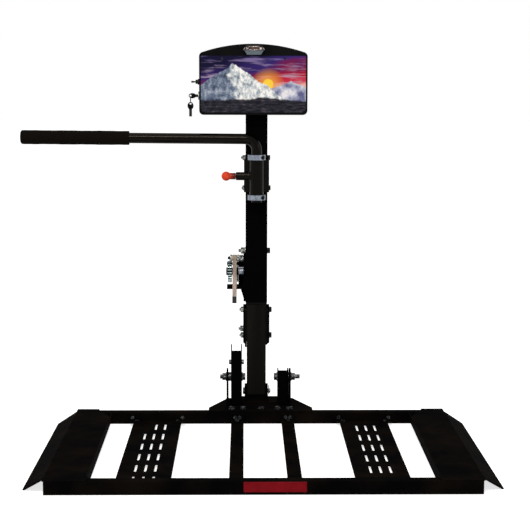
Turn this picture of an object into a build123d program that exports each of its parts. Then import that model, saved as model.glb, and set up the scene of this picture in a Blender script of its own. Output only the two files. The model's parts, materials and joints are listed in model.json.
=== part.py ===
from build123d import *
import os
from math import asin, cos, degrees, hypot, radians, sin

# Power wheelchair lift: a folding tray platform, a telescoping square mast with a
# lead screw, a motor head with a display panel, a swinging hold-down arm, a strap
# ratchet and a hitch bar.
# Millimetres. +Z up, -Y towards the loading side, +Y towards the vehicle.
# The origin is the middle of the rear rail's underside, on the floor.

os.makedirs("parts", exist_ok=True)

# Gaps between pieces that move against each other
GAP = 0.3
SHAFT_GAP = 0.05

# Platform
RAIL = 34.0
RAIL_WALL = 2.0
RAIL_CORNER = 3.5
RAIL_HALF_LENGTH = 528.0
CAP_THICK = 2.0
FRONT_RAIL_Y = -690.0
SHEET = 3.0
TRAY_TOP = 9.0
TRAY_BOTTOM = 1.0
BAR_WIDTH = 36.0
BAR_X = (-67.5, 78.5)
TREAD_X = 298.5
TREAD_WIDTH = 137.0
SLOT_LENGTH = 68.0
SLOT_WIDTH = 6.4
SLOT_PITCH_X = 25.4
SLOT_PITCH_Y = 104.5
SLOT_COLUMNS = 3
SLOT_ROWS = 6
LEFT_SLOT_CENTRE_Y = -344.0
RIGHT_SLOT_CENTRE_Y = -360.0

# Ramps at both ends of the tray
RAMP_INNER_X = 430.0
RAMP_BEND_X = 533.0
RAMP_TIP_X = 587.0
RAMP_TIP_THICK = 1.5
RAMP_TOP = RAIL + SHEET
RAMP_TAB_REACH = 4.0
RAMP_TAB_CORNER = 9.0
RAMP_SWEEP_LENGTH = 90.0
RAMP_SWEEP_MIDDLE = (12.0, 36.0)
FLAP_INSET = 1.5

# Fold hinge between platform and mast foot
FOLD_Y = 64.0
FOLD_Z = 123.0
BASE_TOP = 39.0
BASE_HALF_FRONT = 151.0
BASE_HALF_REAR = 97.0
BASE_REAR_Y = 146.0
BASE_SHOULDER_Y = 24.0
BASE_CORNER = 6.0
LUG_THICK = 5.0
LUG_LEFT_X = -99.5
LUG_RIGHT_X = 84.0
LUG_TOP_RADIUS = 25.0
PIVOT_RADIUS = 6.35

# Telescoping mast
MAST_X = -12.0
MAST_Y = 109.0
OUTER = 63.5
OUTER_WALL = 2.5
OUTER_CORNER = 6.0
OUTER_BOTTOM = 342.0
OUTER_TOP = 918.0
INNER = 56.5
INNER_WALL = 3.0
INNER_CORNER = 5.0
INNER_TOP = 760.0
FOOT_TOP = 45.0
FOOT_PIN_Z = 70.0
SCREW_RADIUS = 9.5
SCREW_BOTTOM = 420.0
JOURNAL_RADIUS = 8.0
MAST_LEFT = MAST_X - OUTER / 2
MAST_RIGHT = MAST_X + OUTER / 2
MAST_FRONT = MAST_Y - OUTER / 2
MAST_REAR = MAST_Y + OUTER / 2

# Guide bracket and hitch bar behind the mast
GUIDE_BOTTOM = 215.0
GUIDE_TOP = 326.0
GUIDE_HALF = 38.7
GUIDE_PLATE = 5.0
GUIDE_CHEEK_Y = 82.0
GUIDE_LOW_CORNER = 16.0
GUIDE_HIGH_CORNER = 5.0
SPINE_HALF = 31.0
SPINE_REAR = 147.0
SPINE_TOP = 430.0
HITCH = 50.8
HITCH_WALL = 6.35
HITCH_Z = 270.4
HITCH_END_Y = 407.0
HITCH_PIN_RADIUS = 8.35
HITCH_PIN_FROM_END = 63.5
GUSSET = 6.0
GUSSET_TOP = 384.0
GUSSET_REACH = 96.0
GUSSET_TIP = (12.0, 8.0)

# Motor head
HEAD_X = -21.7
HEAD_HALF = 154.5
HEAD_BOTTOM = 891.0
HEAD_TOP = 1092.0
HEAD_ARCH_RADIUS = 460.0
HEAD_CORNER = 13.0
HEAD_FRONT_Y = 32.0
HEAD_SPLIT_Y = 70.0
HEAD_REAR_Y = 165.0
HEAD_WALL = 2.5
PANEL_WIDTH = 299.0
PANEL_BOTTOM = 898.0
PANEL_TOP = 1058.0
PANEL_THICK = 1.5
SWITCH_Y = 52.0
TOGGLE_Z = 984.5
KEY_Z = 945.0
HEAD_LEFT = HEAD_X - HEAD_HALF
MOTOR_Z = 962.0
LAMP_X = -20.0
LAMP_HALF = 30.5
LAMP_SPLIT_Z = 1073.0
LAMP_TOP_Z = 1087.0
LAMP_TOP_HALF = 21.5
LAMP_BOTTOM_Z = 1061.0
LAMP_DEPTH = 15.0
LAMP_SCREW_REACH = 19.8
LAMP_SCREW_Z = 1077.8
LAMP_CROWN = 5.0
LAMP_RECESS = (28.0, 8.0)

# Hold-down arm
ARM_Y = 51.0
ARM_RADIUS = 15.25
ARM_WALL = 3.0
ARM_BEND = 33.0
ARM_BOTTOM = 640.0
ARM_Z = 821.8
ARM_END_X = -684.0
ARM_END_Z = 826.4
GRIP_RADIUS = 20.0
GRIP_LENGTH = 307.0
GRIP_END = 4.0
SLEEVE_RADIUS = 20.5
SLEEVE_BOTTOM = 661.5
SLEEVE_TOP = 761.6
COLLAR_RADIUS = 25.5
COLLAR_HEIGHT = 14.7
SADDLE_BOTTOM = 667.0
SADDLE_TOP = 757.0
SADDLE_PLATE = 4.75
BARREL_RADIUS = 12.0
BARREL_END_X = -72.0
PLUNGER_Z = 715.0
PLUNGER_PIN_RADIUS = 4.0
GROOVE_DEPTH = 2.2
GROOVE_HEIGHT = 9.2

# Strap ratchet on the left of the mast
RATCHET_Y = 109.0
RATCHET_Z = 430.0
RATCHET_TEETH = 24
RATCHET_RADIUS = 32.5
TOOTH_DEPTH = 4.5
WHEEL_LEFT = -95.9
WHEEL_RIGHT = -84.0
FRAME_LEFT = -49.75
AXLE_RADIUS = 6.0
ROLL_RADIUS = 23.0
STRAP_LEFT = -82.2
STRAP_RIGHT = -69.7
STRAP_THICK = 1.5
STRAP_END_Z = 339.0
ROLLER_Y = 92.0
ROLLER_Z = 472.0
ROLLER_RADIUS = 8.0
PAWL_Y = 147.0
PAWL_Z = 448.0


def front_plane(y):
    """The X-Z plane at one depth. Its normal points to the loading side."""
    return Plane.XZ.offset(-y)


def side_plane(x):
    """The Y-Z plane at one station across. Its normal points right."""
    return Plane.YZ.offset(x)


def block(low, high, mode=Mode.ADD):
    """A rectangular block between two corners, in the open part."""
    size = [b - a for a, b in zip(low, high)]
    middle = [(a + b) / 2 for a, b in zip(low, high)]
    with Locations(tuple(middle)):
        Box(*size, mode=mode)


def rod_x(x0, x1, y, z, radius, mode=Mode.ADD):
    """A round bar or hole along X, in the open part."""
    with BuildSketch(side_plane(x0)) as disc:
        with Locations((y, z)):
            Circle(radius)
    extrude(disc.sketch, amount=x1 - x0, mode=mode)


def rod_y(y0, y1, x, z, radius, mode=Mode.ADD):
    """A round bar or hole along Y, in the open part."""
    with BuildSketch(front_plane(y0)) as disc:
        with Locations((x, z)):
            Circle(radius)
    extrude(disc.sketch, amount=y0 - y1, mode=mode)


def rod_z(z0, z1, x, y, radius, mode=Mode.ADD):
    """A round bar or hole along Z, in the open part."""
    with BuildSketch(Plane.XY.offset(z0)) as disc:
        with Locations((x, y)):
            Circle(radius)
    extrude(disc.sketch, amount=z1 - z0, mode=mode)


def hex_x(x0, x1, y, z, radius):
    """A hexagon head or nut along X, in the open part."""
    with BuildSketch(side_plane(x0)) as hexagon:
        with Locations((y, z)):
            RegularPolygon(radius, 6)
    extrude(hexagon.sketch, amount=x1 - x0)


def hex_y(y0, y1, x, z, radius):
    """A hexagon head along Y, in the open part."""
    with BuildSketch(front_plane(y0)) as hexagon:
        with Locations((x, z)):
            RegularPolygon(radius, 6)
    extrude(hexagon.sketch, amount=y0 - y1)


def hex_z(z0, z1, x, y, radius):
    """A hexagon head along Z, in the open part."""
    with BuildSketch(Plane.XY.offset(z0)) as hexagon:
        with Locations((x, y)):
            RegularPolygon(radius, 6)
    extrude(hexagon.sketch, amount=z1 - z0)


def square_tube(z0, z1, size, wall, corner):
    """A square mast tube with rounded corners, in the open part."""
    with BuildSketch(Plane.XY.offset(z0)) as section:
        with Locations((MAST_X, MAST_Y)):
            RectangleRounded(size, size, corner)
            RectangleRounded(size - 2 * wall, size - 2 * wall, corner - wall + 1, mode=Mode.SUBTRACT)
    extrude(section.sketch, amount=z1 - z0)


# Platform rails

def rail(y):
    """A square tube rail along X at one depth."""
    with BuildPart() as tube:
        with BuildSketch(side_plane(-RAIL_HALF_LENGTH)):
            with Locations((y, RAIL / 2)):
                RectangleRounded(RAIL, RAIL, RAIL_CORNER)
                bore = RAIL - 2 * RAIL_WALL
                RectangleRounded(bore, bore, RAIL_CORNER - 1, mode=Mode.SUBTRACT)
        extrude(amount=2 * RAIL_HALF_LENGTH)
    return tube


rear_rail = rail(0.0)
rear_rail.part.label = "rear_rail"
export_step(rear_rail.part, "parts/rear_rail.step")

front_rail = rail(FRONT_RAIL_Y)
front_rail.part.label = "front_rail"
export_step(front_rail.part, "parts/front_rail.step")

PLUG = RAIL - 2 * RAIL_WALL - 0.4
PLUG_DEPTH = 12.0

with BuildPart() as rail_end_caps:
    for rail_y in (0.0, FRONT_RAIL_Y):
        for side in (-1, 1):
            with BuildSketch(side_plane(side * RAIL_HALF_LENGTH)):
                with Locations((rail_y, RAIL / 2)):
                    RectangleRounded(RAIL, RAIL, RAIL_CORNER)
            extrude(amount=side * CAP_THICK)
            with BuildSketch(side_plane(side * RAIL_HALF_LENGTH)):
                with Locations((rail_y, RAIL / 2)):
                    RectangleRounded(PLUG, PLUG, RAIL_CORNER - 1.5)
            extrude(amount=-side * PLUG_DEPTH)
rail_end_caps.part.label = "rail_end_caps"
export_step(rail_end_caps.part, "parts/rail_end_caps.step")

# Tray between the rails

REAR_FACE_Y = -RAIL / 2
FRONT_FACE_Y = FRONT_RAIL_Y + RAIL / 2
TRAY_LENGTH = REAR_FACE_Y - FRONT_FACE_Y


def tray_channel(x, width, wall):
    """A shallow channel, open below, that spans the rails, in the open part."""
    with BuildSketch(front_plane(REAR_FACE_Y)) as section:
        with Locations((x, (TRAY_TOP + TRAY_BOTTOM) / 2)):
            Rectangle(width, TRAY_TOP - TRAY_BOTTOM)
        with Locations((x, (TRAY_TOP + TRAY_BOTTOM) / 2 - wall)):
            Rectangle(width - 2 * wall, TRAY_TOP - TRAY_BOTTOM, mode=Mode.SUBTRACT)
    extrude(section.sketch, amount=TRAY_LENGTH)


with BuildPart() as crossbars:
    for bar_x in BAR_X:
        tray_channel(bar_x, BAR_WIDTH, SHEET)
crossbars.part.label = "crossbars"
export_step(crossbars.part, "parts/crossbars.step")


def tread_plate(x, slot_centre_y, blank_corner=False):
    """A pressed tread plate with three columns of long slots.

    blank_corner leaves out the slot at the rear left corner."""
    with BuildPart() as plate:
        tray_channel(x, TREAD_WIDTH, SHEET)
        with BuildSketch(Plane.XY.offset(TRAY_TOP)):
            with Locations((x, slot_centre_y)):
                with GridLocations(SLOT_PITCH_X, SLOT_PITCH_Y, SLOT_COLUMNS, SLOT_ROWS):
                    SlotOverall(SLOT_LENGTH, SLOT_WIDTH, rotation=90)
            if blank_corner:
                corner_x = x - SLOT_PITCH_X * (SLOT_COLUMNS - 1) / 2
                corner_y = slot_centre_y + SLOT_PITCH_Y * (SLOT_ROWS - 1) / 2
                with Locations((corner_x, corner_y)):
                    Rectangle(SLOT_WIDTH + 1, SLOT_LENGTH + 1, mode=Mode.SUBTRACT)
        extrude(amount=-SHEET - 1, mode=Mode.SUBTRACT)
    return plate


left_tread_plate = tread_plate(-TREAD_X, LEFT_SLOT_CENTRE_Y, blank_corner=True)
left_tread_plate.part.label = "left_tread_plate"
export_step(left_tread_plate.part, "parts/left_tread_plate.step")

right_tread_plate = tread_plate(TREAD_X, RIGHT_SLOT_CENTRE_Y)
right_tread_plate.part.label = "right_tread_plate"
export_step(right_tread_plate.part, "parts/right_tread_plate.step")

# Angle clips that hold the tray to the rails, and their bolts.
# Each clip: its middle, its width, its bolts in the rail and its bolt in the tray.

CLIP_REACH = 28.0
CLIP_TOP = 31.0
CLIP_BOLT_Z = 20.0
CLIP_BOLT_Y = 13.0
SMALL_HEX = 5.8
SMALL_HEX_HEIGHT = 4.0

CLIPS = []
for plate_x in (-TREAD_X, TREAD_X):
    for side in (-1, 1):
        CLIPS.append((plate_x + side * 64, 32.0, (side * 8,), -side * 5))
for bar_x in BAR_X:
    CLIPS.append((bar_x, BAR_WIDTH, (-6.3, 6.3), 0))

with BuildPart() as corner_clips:
    for clip_x, width, rail_bolts, tray_bolt in CLIPS:
        for face_y, inward in ((REAR_FACE_Y, -1), (FRONT_FACE_Y, 1)):
            with BuildSketch(side_plane(clip_x - width / 2)):
                with BuildLine():
                    Polyline(
                        (face_y, TRAY_TOP),
                        (face_y + inward * CLIP_REACH, TRAY_TOP),
                        (face_y + inward * CLIP_REACH, TRAY_TOP + SHEET),
                        (face_y + inward * SHEET, TRAY_TOP + SHEET),
                        (face_y + inward * SHEET, CLIP_TOP),
                        (face_y, CLIP_TOP),
                        close=True,
                    )
                make_face()
            extrude(amount=width)
corner_clips.part.label = "corner_clips"
export_step(corner_clips.part, "parts/corner_clips.step")

BASE_BOLT_X = (-83.0, -51.0, 0.0, 51.0, 83.0)
BASE_BOLT_Y = 8.0
BIG_HEX = 9.2
BIG_HEX_HEIGHT = 6.4

with BuildPart() as platform_bolts:
    for clip_x, width, rail_bolts, tray_bolt in CLIPS:
        for face_y, inward in ((REAR_FACE_Y, -1), (FRONT_FACE_Y, 1)):
            seat_y = face_y + inward * SHEET
            for bolt_x in rail_bolts:
                hex_y(seat_y, seat_y + inward * SMALL_HEX_HEIGHT, clip_x + bolt_x, CLIP_BOLT_Z, SMALL_HEX)
            seat_z = TRAY_TOP + SHEET
            tray_bolt_y = seat_y + inward * CLIP_BOLT_Y
            hex_z(seat_z, seat_z + SMALL_HEX_HEIGHT, clip_x + tray_bolt, tray_bolt_y, SMALL_HEX)
    for bolt_x in BASE_BOLT_X:
        rod_z(BASE_TOP, BASE_TOP + 1.6, bolt_x, BASE_BOLT_Y, 10.5)
        hex_z(BASE_TOP + 1.6, BASE_TOP + BIG_HEX_HEIGHT, bolt_x, BASE_BOLT_Y, BIG_HEX)
platform_bolts.part.label = "platform_bolts"
export_step(platform_bolts.part, "parts/platform_bolts.step")

# Ramps: bent sheet with a flange inside, tabs over both rails and a flap to the floor

FLANGE_FRONT_Z = 4.0
FLANGE_REAR_Z = 15.0
REAR_TAB_X = 470.0
TAB_EDGE = 1.0
RAMP_SLOPE = (RAMP_TOP - RAMP_TIP_THICK) / (RAMP_TIP_X - RAMP_BEND_X)
FLAP_REAR_Y = -17.0
FLAP_FRONT_Y = -690.0
FLAP_TIP_FRONT_Y = -661.0


def ramp(side):
    """One end ramp; side is -1 for the left one and 1 for the right one."""
    with BuildPart() as sheet:
        with BuildSketch(Plane.XY.offset(RAIL)):
            with BuildLine():
                Polyline(
                    (REAR_TAB_X, REAR_FACE_Y),
                    (REAR_TAB_X, RAIL / 2 - TAB_EDGE),
                    (RAMP_BEND_X, RAIL / 2 - TAB_EDGE),
                    (RAMP_BEND_X, FRONT_RAIL_Y - RAIL / 2 + TAB_EDGE),
                    (RAMP_INNER_X - RAMP_TAB_REACH, FRONT_RAIL_Y - RAIL / 2 + TAB_EDGE),
                    (RAMP_INNER_X - RAMP_TAB_REACH, FRONT_FACE_Y),
                    (RAMP_INNER_X, FRONT_FACE_Y),
                    (RAMP_INNER_X, REAR_FACE_Y - RAMP_SWEEP_LENGTH),
                )
                ThreePointArc(
                    (RAMP_INNER_X, REAR_FACE_Y - RAMP_SWEEP_LENGTH),
                    (RAMP_INNER_X + RAMP_SWEEP_MIDDLE[0], REAR_FACE_Y - RAMP_SWEEP_MIDDLE[1]),
                    (REAR_TAB_X, REAR_FACE_Y),
                )
            make_face()
        extrude(amount=SHEET)
        tab_edge_x = RAMP_INNER_X - RAMP_TAB_REACH
        upright_edges = sheet.edges().filter_by(Axis.Z)
        tab_corners = upright_edges.filter_by_position(Axis.X, tab_edge_x - 1, tab_edge_x + 1)
        fillet(tab_corners.sort_by(Axis.Y)[0], radius=RAMP_TAB_CORNER)
        # The flange inside gets less deep towards the rear
        with BuildSketch(side_plane(RAMP_INNER_X)):
            with BuildLine():
                Polyline(
                    (FRONT_FACE_Y + GAP, RAIL),
                    (FRONT_FACE_Y + GAP, FLANGE_FRONT_Z),
                    (REAR_FACE_Y - GAP, FLANGE_REAR_Z),
                    (REAR_FACE_Y - GAP, RAIL),
                    close=True,
                )
            make_face()
        extrude(amount=SHEET)
        with BuildSketch(front_plane(FLAP_REAR_Y)):
            with BuildLine():
                under_reach = (RAIL - SHEET / 4) / RAMP_SLOPE
                Polyline(
                    (RAMP_BEND_X, RAMP_TOP),
                    (RAMP_TIP_X, RAMP_TIP_THICK),
                    (RAMP_TIP_X, 0),
                    (RAMP_BEND_X - FLAP_INSET + under_reach, 0),
                    (RAMP_BEND_X - FLAP_INSET, RAIL),
                    close=True,
                )
            make_face()
        extrude(amount=FLAP_REAR_Y - FLAP_FRONT_Y)
        with BuildSketch(Plane.XY.offset(-1)):
            with BuildLine():
                Polyline(
                    (RAMP_BEND_X, FLAP_FRONT_Y - 1),
                    (RAMP_TIP_X + 1, FLAP_FRONT_Y - 1),
                    (RAMP_TIP_X + 1, FLAP_TIP_FRONT_Y),
                    close=True,
                )
            make_face()
        extrude(amount=RAMP_TOP + 2, mode=Mode.SUBTRACT)
    if side > 0:
        return sheet
    with BuildPart() as mirrored:
        mirror(sheet.part, about=Plane.YZ)
    return mirrored


left_ramp = ramp(-1)
left_ramp.part.label = "left_ramp"
export_step(left_ramp.part, "parts/left_ramp.step")

right_ramp = ramp(1)
right_ramp.part.label = "right_ramp"
export_step(right_ramp.part, "parts/right_ramp.step")

# Reflector strip on the front rail, six inches by one

REFLECTOR_X = 27.0
REFLECTOR_LENGTH = 152.4
REFLECTOR_HEIGHT = 25.4
REFLECTOR_Z = 20.3
REFLECTOR_THICK = 2.0

with BuildPart() as reflector:
    with BuildSketch(front_plane(FRONT_RAIL_Y - RAIL / 2)):
        with Locations((REFLECTOR_X, REFLECTOR_Z)):
            RectangleRounded(REFLECTOR_LENGTH, REFLECTOR_HEIGHT, 1.5)
    extrude(amount=REFLECTOR_THICK)
    chamfer(reflector.faces().sort_by(Axis.Y)[0].edges(), length=0.6)
reflector.part.label = "reflector"
export_step(reflector.part, "parts/reflector.step")

# Fold hinge: base plate on the rear rail, two lugs and their pivot bolts

with BuildPart() as hinge_base_plate:
    with BuildSketch(Plane.XY.offset(RAIL)) as outline:
        with BuildLine():
            Polyline(
                (-BASE_HALF_FRONT, REAR_FACE_Y),
                (BASE_HALF_FRONT, REAR_FACE_Y),
                (BASE_HALF_FRONT, BASE_SHOULDER_Y),
                (BASE_HALF_REAR, BASE_REAR_Y),
                (-BASE_HALF_REAR, BASE_REAR_Y),
                (-BASE_HALF_FRONT, BASE_SHOULDER_Y),
                close=True,
            )
        make_face()
        fillet(outline.vertices(), radius=BASE_CORNER)
    extrude(amount=BASE_TOP - RAIL)
hinge_base_plate.part.label = "hinge_base_plate"
export_step(hinge_base_plate.part, "parts/hinge_base_plate.step")

LUG_FRONT_Y = 24.0
LUG_REAR_Y = 140.0
LUG_FOOT = 12.0


def hinge_lug(x):
    """An upright lug on the base plate, rounded round the fold pivot."""
    with BuildPart() as lug:
        with BuildSketch(side_plane(x)):
            with Locations((FOLD_Y, FOLD_Z)):
                Circle(LUG_TOP_RADIUS)
            with Locations(((LUG_FRONT_Y + LUG_REAR_Y) / 2, BASE_TOP + LUG_FOOT / 2)):
                Rectangle(LUG_REAR_Y - LUG_FRONT_Y, LUG_FOOT)
            make_hull()
            with Locations((FOLD_Y, FOLD_Z)):
                Circle(PIVOT_RADIUS + SHAFT_GAP, mode=Mode.SUBTRACT)
        extrude(amount=LUG_THICK)
    return lug


left_hinge_lug = hinge_lug(LUG_LEFT_X)
left_hinge_lug.part.label = "left_hinge_lug"
export_step(left_hinge_lug.part, "parts/left_hinge_lug.step")

right_hinge_lug = hinge_lug(LUG_RIGHT_X)
right_hinge_lug.part.label = "right_hinge_lug"
export_step(right_hinge_lug.part, "parts/right_hinge_lug.step")

# Channel uprights that stand on the mast foot and carry the fold pivots

UPRIGHT_WIDTH = 32.0
UPRIGHT_WALL = 3.0
UPRIGHT_FRONT_Y = 44.0
UPRIGHT_REAR_Y = 84.0
UPRIGHT_LEFT_X = -86.5
UPRIGHT_RIGHT_X = 50.2
LEFT_WEB_TOP = 204.0
LEFT_TINE_TOP = 220.0
RIGHT_TOP = 145.0
TINE_HOLE_Z = 210.0
TINE_HOLE_RADIUS = 4.0
TINE_RADIUS = 12.0
LOCK_BOLT_Z = 167.0
LOCK_BOLT_RADIUS = 4.0
LOCK_HEX = 7.5
LOCK_HEX_HEIGHT = 6.0


def upright(x, web_top, tine_top):
    """A channel with its web to the loading side and two tines above the web."""
    depth = UPRIGHT_REAR_Y - UPRIGHT_FRONT_Y
    middle_y = (UPRIGHT_FRONT_Y + UPRIGHT_REAR_Y) / 2
    with BuildPart() as channel:
        block(
            (x, UPRIGHT_FRONT_Y, FOOT_TOP),
            (x + UPRIGHT_WIDTH, UPRIGHT_REAR_Y, tine_top),
        )
        front_edges = channel.edges().filter_by(Axis.Z).group_by(Axis.Y)[0]
        fillet(front_edges, radius=UPRIGHT_WALL)
        block(
            (x + UPRIGHT_WALL, UPRIGHT_FRONT_Y + UPRIGHT_WALL, FOOT_TOP),
            (x + UPRIGHT_WIDTH - UPRIGHT_WALL, UPRIGHT_REAR_Y, tine_top),
            mode=Mode.SUBTRACT,
        )
        if tine_top > web_top:
            block(
                (x + UPRIGHT_WALL, UPRIGHT_FRONT_Y, web_top),
                (x + UPRIGHT_WIDTH - UPRIGHT_WALL, UPRIGHT_REAR_Y, tine_top),
                mode=Mode.SUBTRACT,
            )
            with BuildSketch(side_plane(x)) as tine_outline:
                with Locations((middle_y, (FOOT_TOP + web_top) / 2)):
                    Rectangle(depth, web_top - FOOT_TOP)
                with Locations((middle_y, tine_top - TINE_RADIUS)):
                    Circle(TINE_RADIUS)
                make_hull()
            extrude(tine_outline.sketch, amount=UPRIGHT_WIDTH, mode=Mode.INTERSECT)
            rod_x(x, x + UPRIGHT_WIDTH, middle_y, TINE_HOLE_Z, TINE_HOLE_RADIUS, Mode.SUBTRACT)
            rod_x(x, x + UPRIGHT_WIDTH, middle_y, LOCK_BOLT_Z, LOCK_BOLT_RADIUS + 0.1, Mode.SUBTRACT)
        rod_x(x, x + UPRIGHT_WIDTH, FOLD_Y, FOLD_Z, PIVOT_RADIUS + SHAFT_GAP, Mode.SUBTRACT)
    return channel


left_upright = upright(UPRIGHT_LEFT_X, LEFT_WEB_TOP, LEFT_TINE_TOP)
left_upright.part.label = "left_upright"
export_step(left_upright.part, "parts/left_upright.step")

right_upright = upright(UPRIGHT_RIGHT_X, RIGHT_TOP, RIGHT_TOP)
right_upright.part.label = "right_upright"
export_step(right_upright.part, "parts/right_upright.step")

PIVOT_HEX = 11.0
WASHER_RADIUS = 13.0
WASHER = 2.5
PIVOT_HEAD = 8.0
PIVOT_NUT = 10.0
PIVOT_LEFT_END = -119.0
PIVOT_RIGHT_END = 116.0

with BuildPart() as upright_bolts:
    # Left: head inside, spacer washers beside the lug, nut and thread end outside
    inner_x = UPRIGHT_LEFT_X + UPRIGHT_WIDTH
    lug_outer = LUG_LEFT_X
    lug_inner = LUG_LEFT_X + LUG_THICK
    rod_x(PIVOT_LEFT_END, inner_x, FOLD_Y, FOLD_Z, PIVOT_RADIUS)
    rod_x(inner_x, inner_x + WASHER, FOLD_Y, FOLD_Z, WASHER_RADIUS)
    hex_x(inner_x + WASHER, inner_x + WASHER + PIVOT_HEAD, FOLD_Y, FOLD_Z, PIVOT_HEX)
    rod_x(lug_inner + GAP, UPRIGHT_LEFT_X, FOLD_Y, FOLD_Z, WASHER_RADIUS)
    washer_x = lug_outer - GAP - WASHER
    rod_x(washer_x, washer_x + WASHER, FOLD_Y, FOLD_Z, WASHER_RADIUS)
    hex_x(washer_x - PIVOT_NUT, washer_x, FOLD_Y, FOLD_Z, PIVOT_HEX)
    # Right: head inside, lug close beside the channel, nut and thread end outside
    inner_x = UPRIGHT_RIGHT_X
    lug_inner = LUG_RIGHT_X
    lug_outer = LUG_RIGHT_X + LUG_THICK
    rod_x(inner_x, PIVOT_RIGHT_END, FOLD_Y, FOLD_Z, PIVOT_RADIUS)
    rod_x(inner_x - WASHER, inner_x, FOLD_Y, FOLD_Z, WASHER_RADIUS)
    hex_x(inner_x - WASHER - PIVOT_HEAD, inner_x - WASHER, FOLD_Y, FOLD_Z, PIVOT_HEX)
    rod_x(UPRIGHT_RIGHT_X + UPRIGHT_WIDTH, lug_inner - GAP, FOLD_Y, FOLD_Z, WASHER_RADIUS)
    washer_x = lug_outer + GAP
    rod_x(washer_x, washer_x + WASHER, FOLD_Y, FOLD_Z, WASHER_RADIUS)
    hex_x(washer_x + WASHER, washer_x + WASHER + PIVOT_NUT, FOLD_Y, FOLD_Z, PIVOT_HEX)
    # A smaller bolt across the tall channel
    bolt_y = (UPRIGHT_FRONT_Y + UPRIGHT_REAR_Y) / 2
    right_x = UPRIGHT_LEFT_X + UPRIGHT_WIDTH
    rod_x(UPRIGHT_LEFT_X, right_x, bolt_y, LOCK_BOLT_Z, LOCK_BOLT_RADIUS)
    hex_x(UPRIGHT_LEFT_X - LOCK_HEX_HEIGHT, UPRIGHT_LEFT_X, bolt_y, LOCK_BOLT_Z, LOCK_HEX)
    hex_x(right_x, right_x + LOCK_HEX_HEIGHT, bolt_y, LOCK_BOLT_Z, LOCK_HEX)
upright_bolts.part.label = "upright_bolts"
export_step(upright_bolts.part, "parts/upright_bolts.step")

# Mast foot: a plate on the hinge base and a clevis round the inner tube

FOOT_LEFT = -87.0
FOOT_RIGHT = 82.0
FOOT_REAR_Y = 145.0
CHEEK = 6.35
CHEEK_INNER = INNER / 2 + 0.05
CHEEK_TOP = 92.0
CHEEK_FOOT_LENGTH = 56.0
CHEEK_FOOT_HEIGHT = 8.0
FOOT_CORNER = 14.0
LIP_THICK = 5.9
LIP_TOP = 66.0
PIN_HOLE_GAP = 0.15

with BuildPart() as mast_foot:
    block((FOOT_LEFT, FOLD_Y, BASE_TOP + GAP), (FOOT_RIGHT, FOOT_REAR_Y, FOOT_TOP))
    rear_corners = mast_foot.edges().filter_by(Axis.Z).group_by(Axis.Y)[-1]
    chamfer(rear_corners, length=FOOT_CORNER)
    for side in (-1, 1):
        cheek_x = MAST_X + side * CHEEK_INNER
        with BuildSketch(side_plane(cheek_x)):
            with Locations((MAST_Y, FOOT_PIN_Z)):
                Circle(CHEEK_TOP - FOOT_PIN_Z)
            with Locations((MAST_Y, FOOT_TOP + CHEEK_FOOT_HEIGHT / 2)):
                Rectangle(CHEEK_FOOT_LENGTH, CHEEK_FOOT_HEIGHT)
            make_hull()
            with Locations((MAST_Y, FOOT_PIN_Z)):
                Circle(PIVOT_RADIUS + PIN_HOLE_GAP, mode=Mode.SUBTRACT)
        extrude(amount=side * CHEEK)
    lip_half = CHEEK_INNER + CHEEK
    block(
        (MAST_X - lip_half, MAST_Y - INNER / 2 - 0.1 - LIP_THICK, FOOT_TOP),
        (MAST_X + lip_half, MAST_Y - INNER / 2 - 0.1, LIP_TOP),
    )
mast_foot.part.label = "mast_foot"
export_step(mast_foot.part, "parts/mast_foot.step")

FOOT_PIN_LEFT = MAST_X - CHEEK_INNER - CHEEK
FOOT_PIN_RIGHT = MAST_X + CHEEK_INNER + CHEEK
CLIP_WIRE = 1.2
CLIP_X = FOOT_PIN_RIGHT + 3.0
CLIP_LEG = 11.0
FOOT_PIN_REACH = 8.0
FOOT_PIN_HEAD = 5.0
FOOT_PIN_HEAD_RADIUS = 10.0

with BuildPart() as foot_pin:
    rod_x(FOOT_PIN_LEFT, FOOT_PIN_RIGHT + FOOT_PIN_REACH, MAST_Y, FOOT_PIN_Z, PIVOT_RADIUS)
    rod_x(FOOT_PIN_LEFT - FOOT_PIN_HEAD, FOOT_PIN_LEFT, MAST_Y, FOOT_PIN_Z, FOOT_PIN_HEAD_RADIUS)
    chamfer(foot_pin.edges().sort_by(Axis.X)[-1], length=1)
    rod_z(FOOT_PIN_Z - 10, FOOT_PIN_Z + 10, CLIP_X, MAST_Y, CLIP_WIRE + 0.1, Mode.SUBTRACT)
foot_pin.part.label = "foot_pin"
export_step(foot_pin.part, "parts/foot_pin.step")

with BuildPart() as foot_pin_clip:
    front_y = MAST_Y - PIVOT_RADIUS - CLIP_WIRE - 0.2
    leg_top = FOOT_PIN_Z + CLIP_LEG + 2
    leg_bottom = FOOT_PIN_Z - CLIP_LEG
    with BuildLine(side_plane(CLIP_X)) as wire:
        Line((MAST_Y, leg_bottom), (MAST_Y, leg_top))
        ThreePointArc(
            (MAST_Y, leg_top),
            ((MAST_Y + front_y) / 2, leg_top + (MAST_Y - front_y) / 2),
            (front_y, leg_top),
        )
        Line((front_y, leg_top), (front_y, leg_bottom + 5))
    with BuildSketch(Plane.XY.offset(leg_bottom)):
        with Locations((CLIP_X, MAST_Y)):
            Circle(CLIP_WIRE)
    sweep(path=wire.wire())
foot_pin_clip.part.label = "foot_pin_clip"
export_step(foot_pin_clip.part, "parts/foot_pin_clip.step")

# Inner mast tube and the nut block that climbs the lead screw

with BuildPart() as mast_inner_tube:
    square_tube(FOOT_TOP, INNER_TOP, INNER, INNER_WALL, INNER_CORNER)
    rod_x(MAST_X - INNER, MAST_X + INNER, MAST_Y, FOOT_PIN_Z, PIVOT_RADIUS + PIN_HOLE_GAP, Mode.SUBTRACT)
mast_inner_tube.part.label = "mast_inner_tube"
export_step(mast_inner_tube.part, "parts/mast_inner_tube.step")

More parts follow.
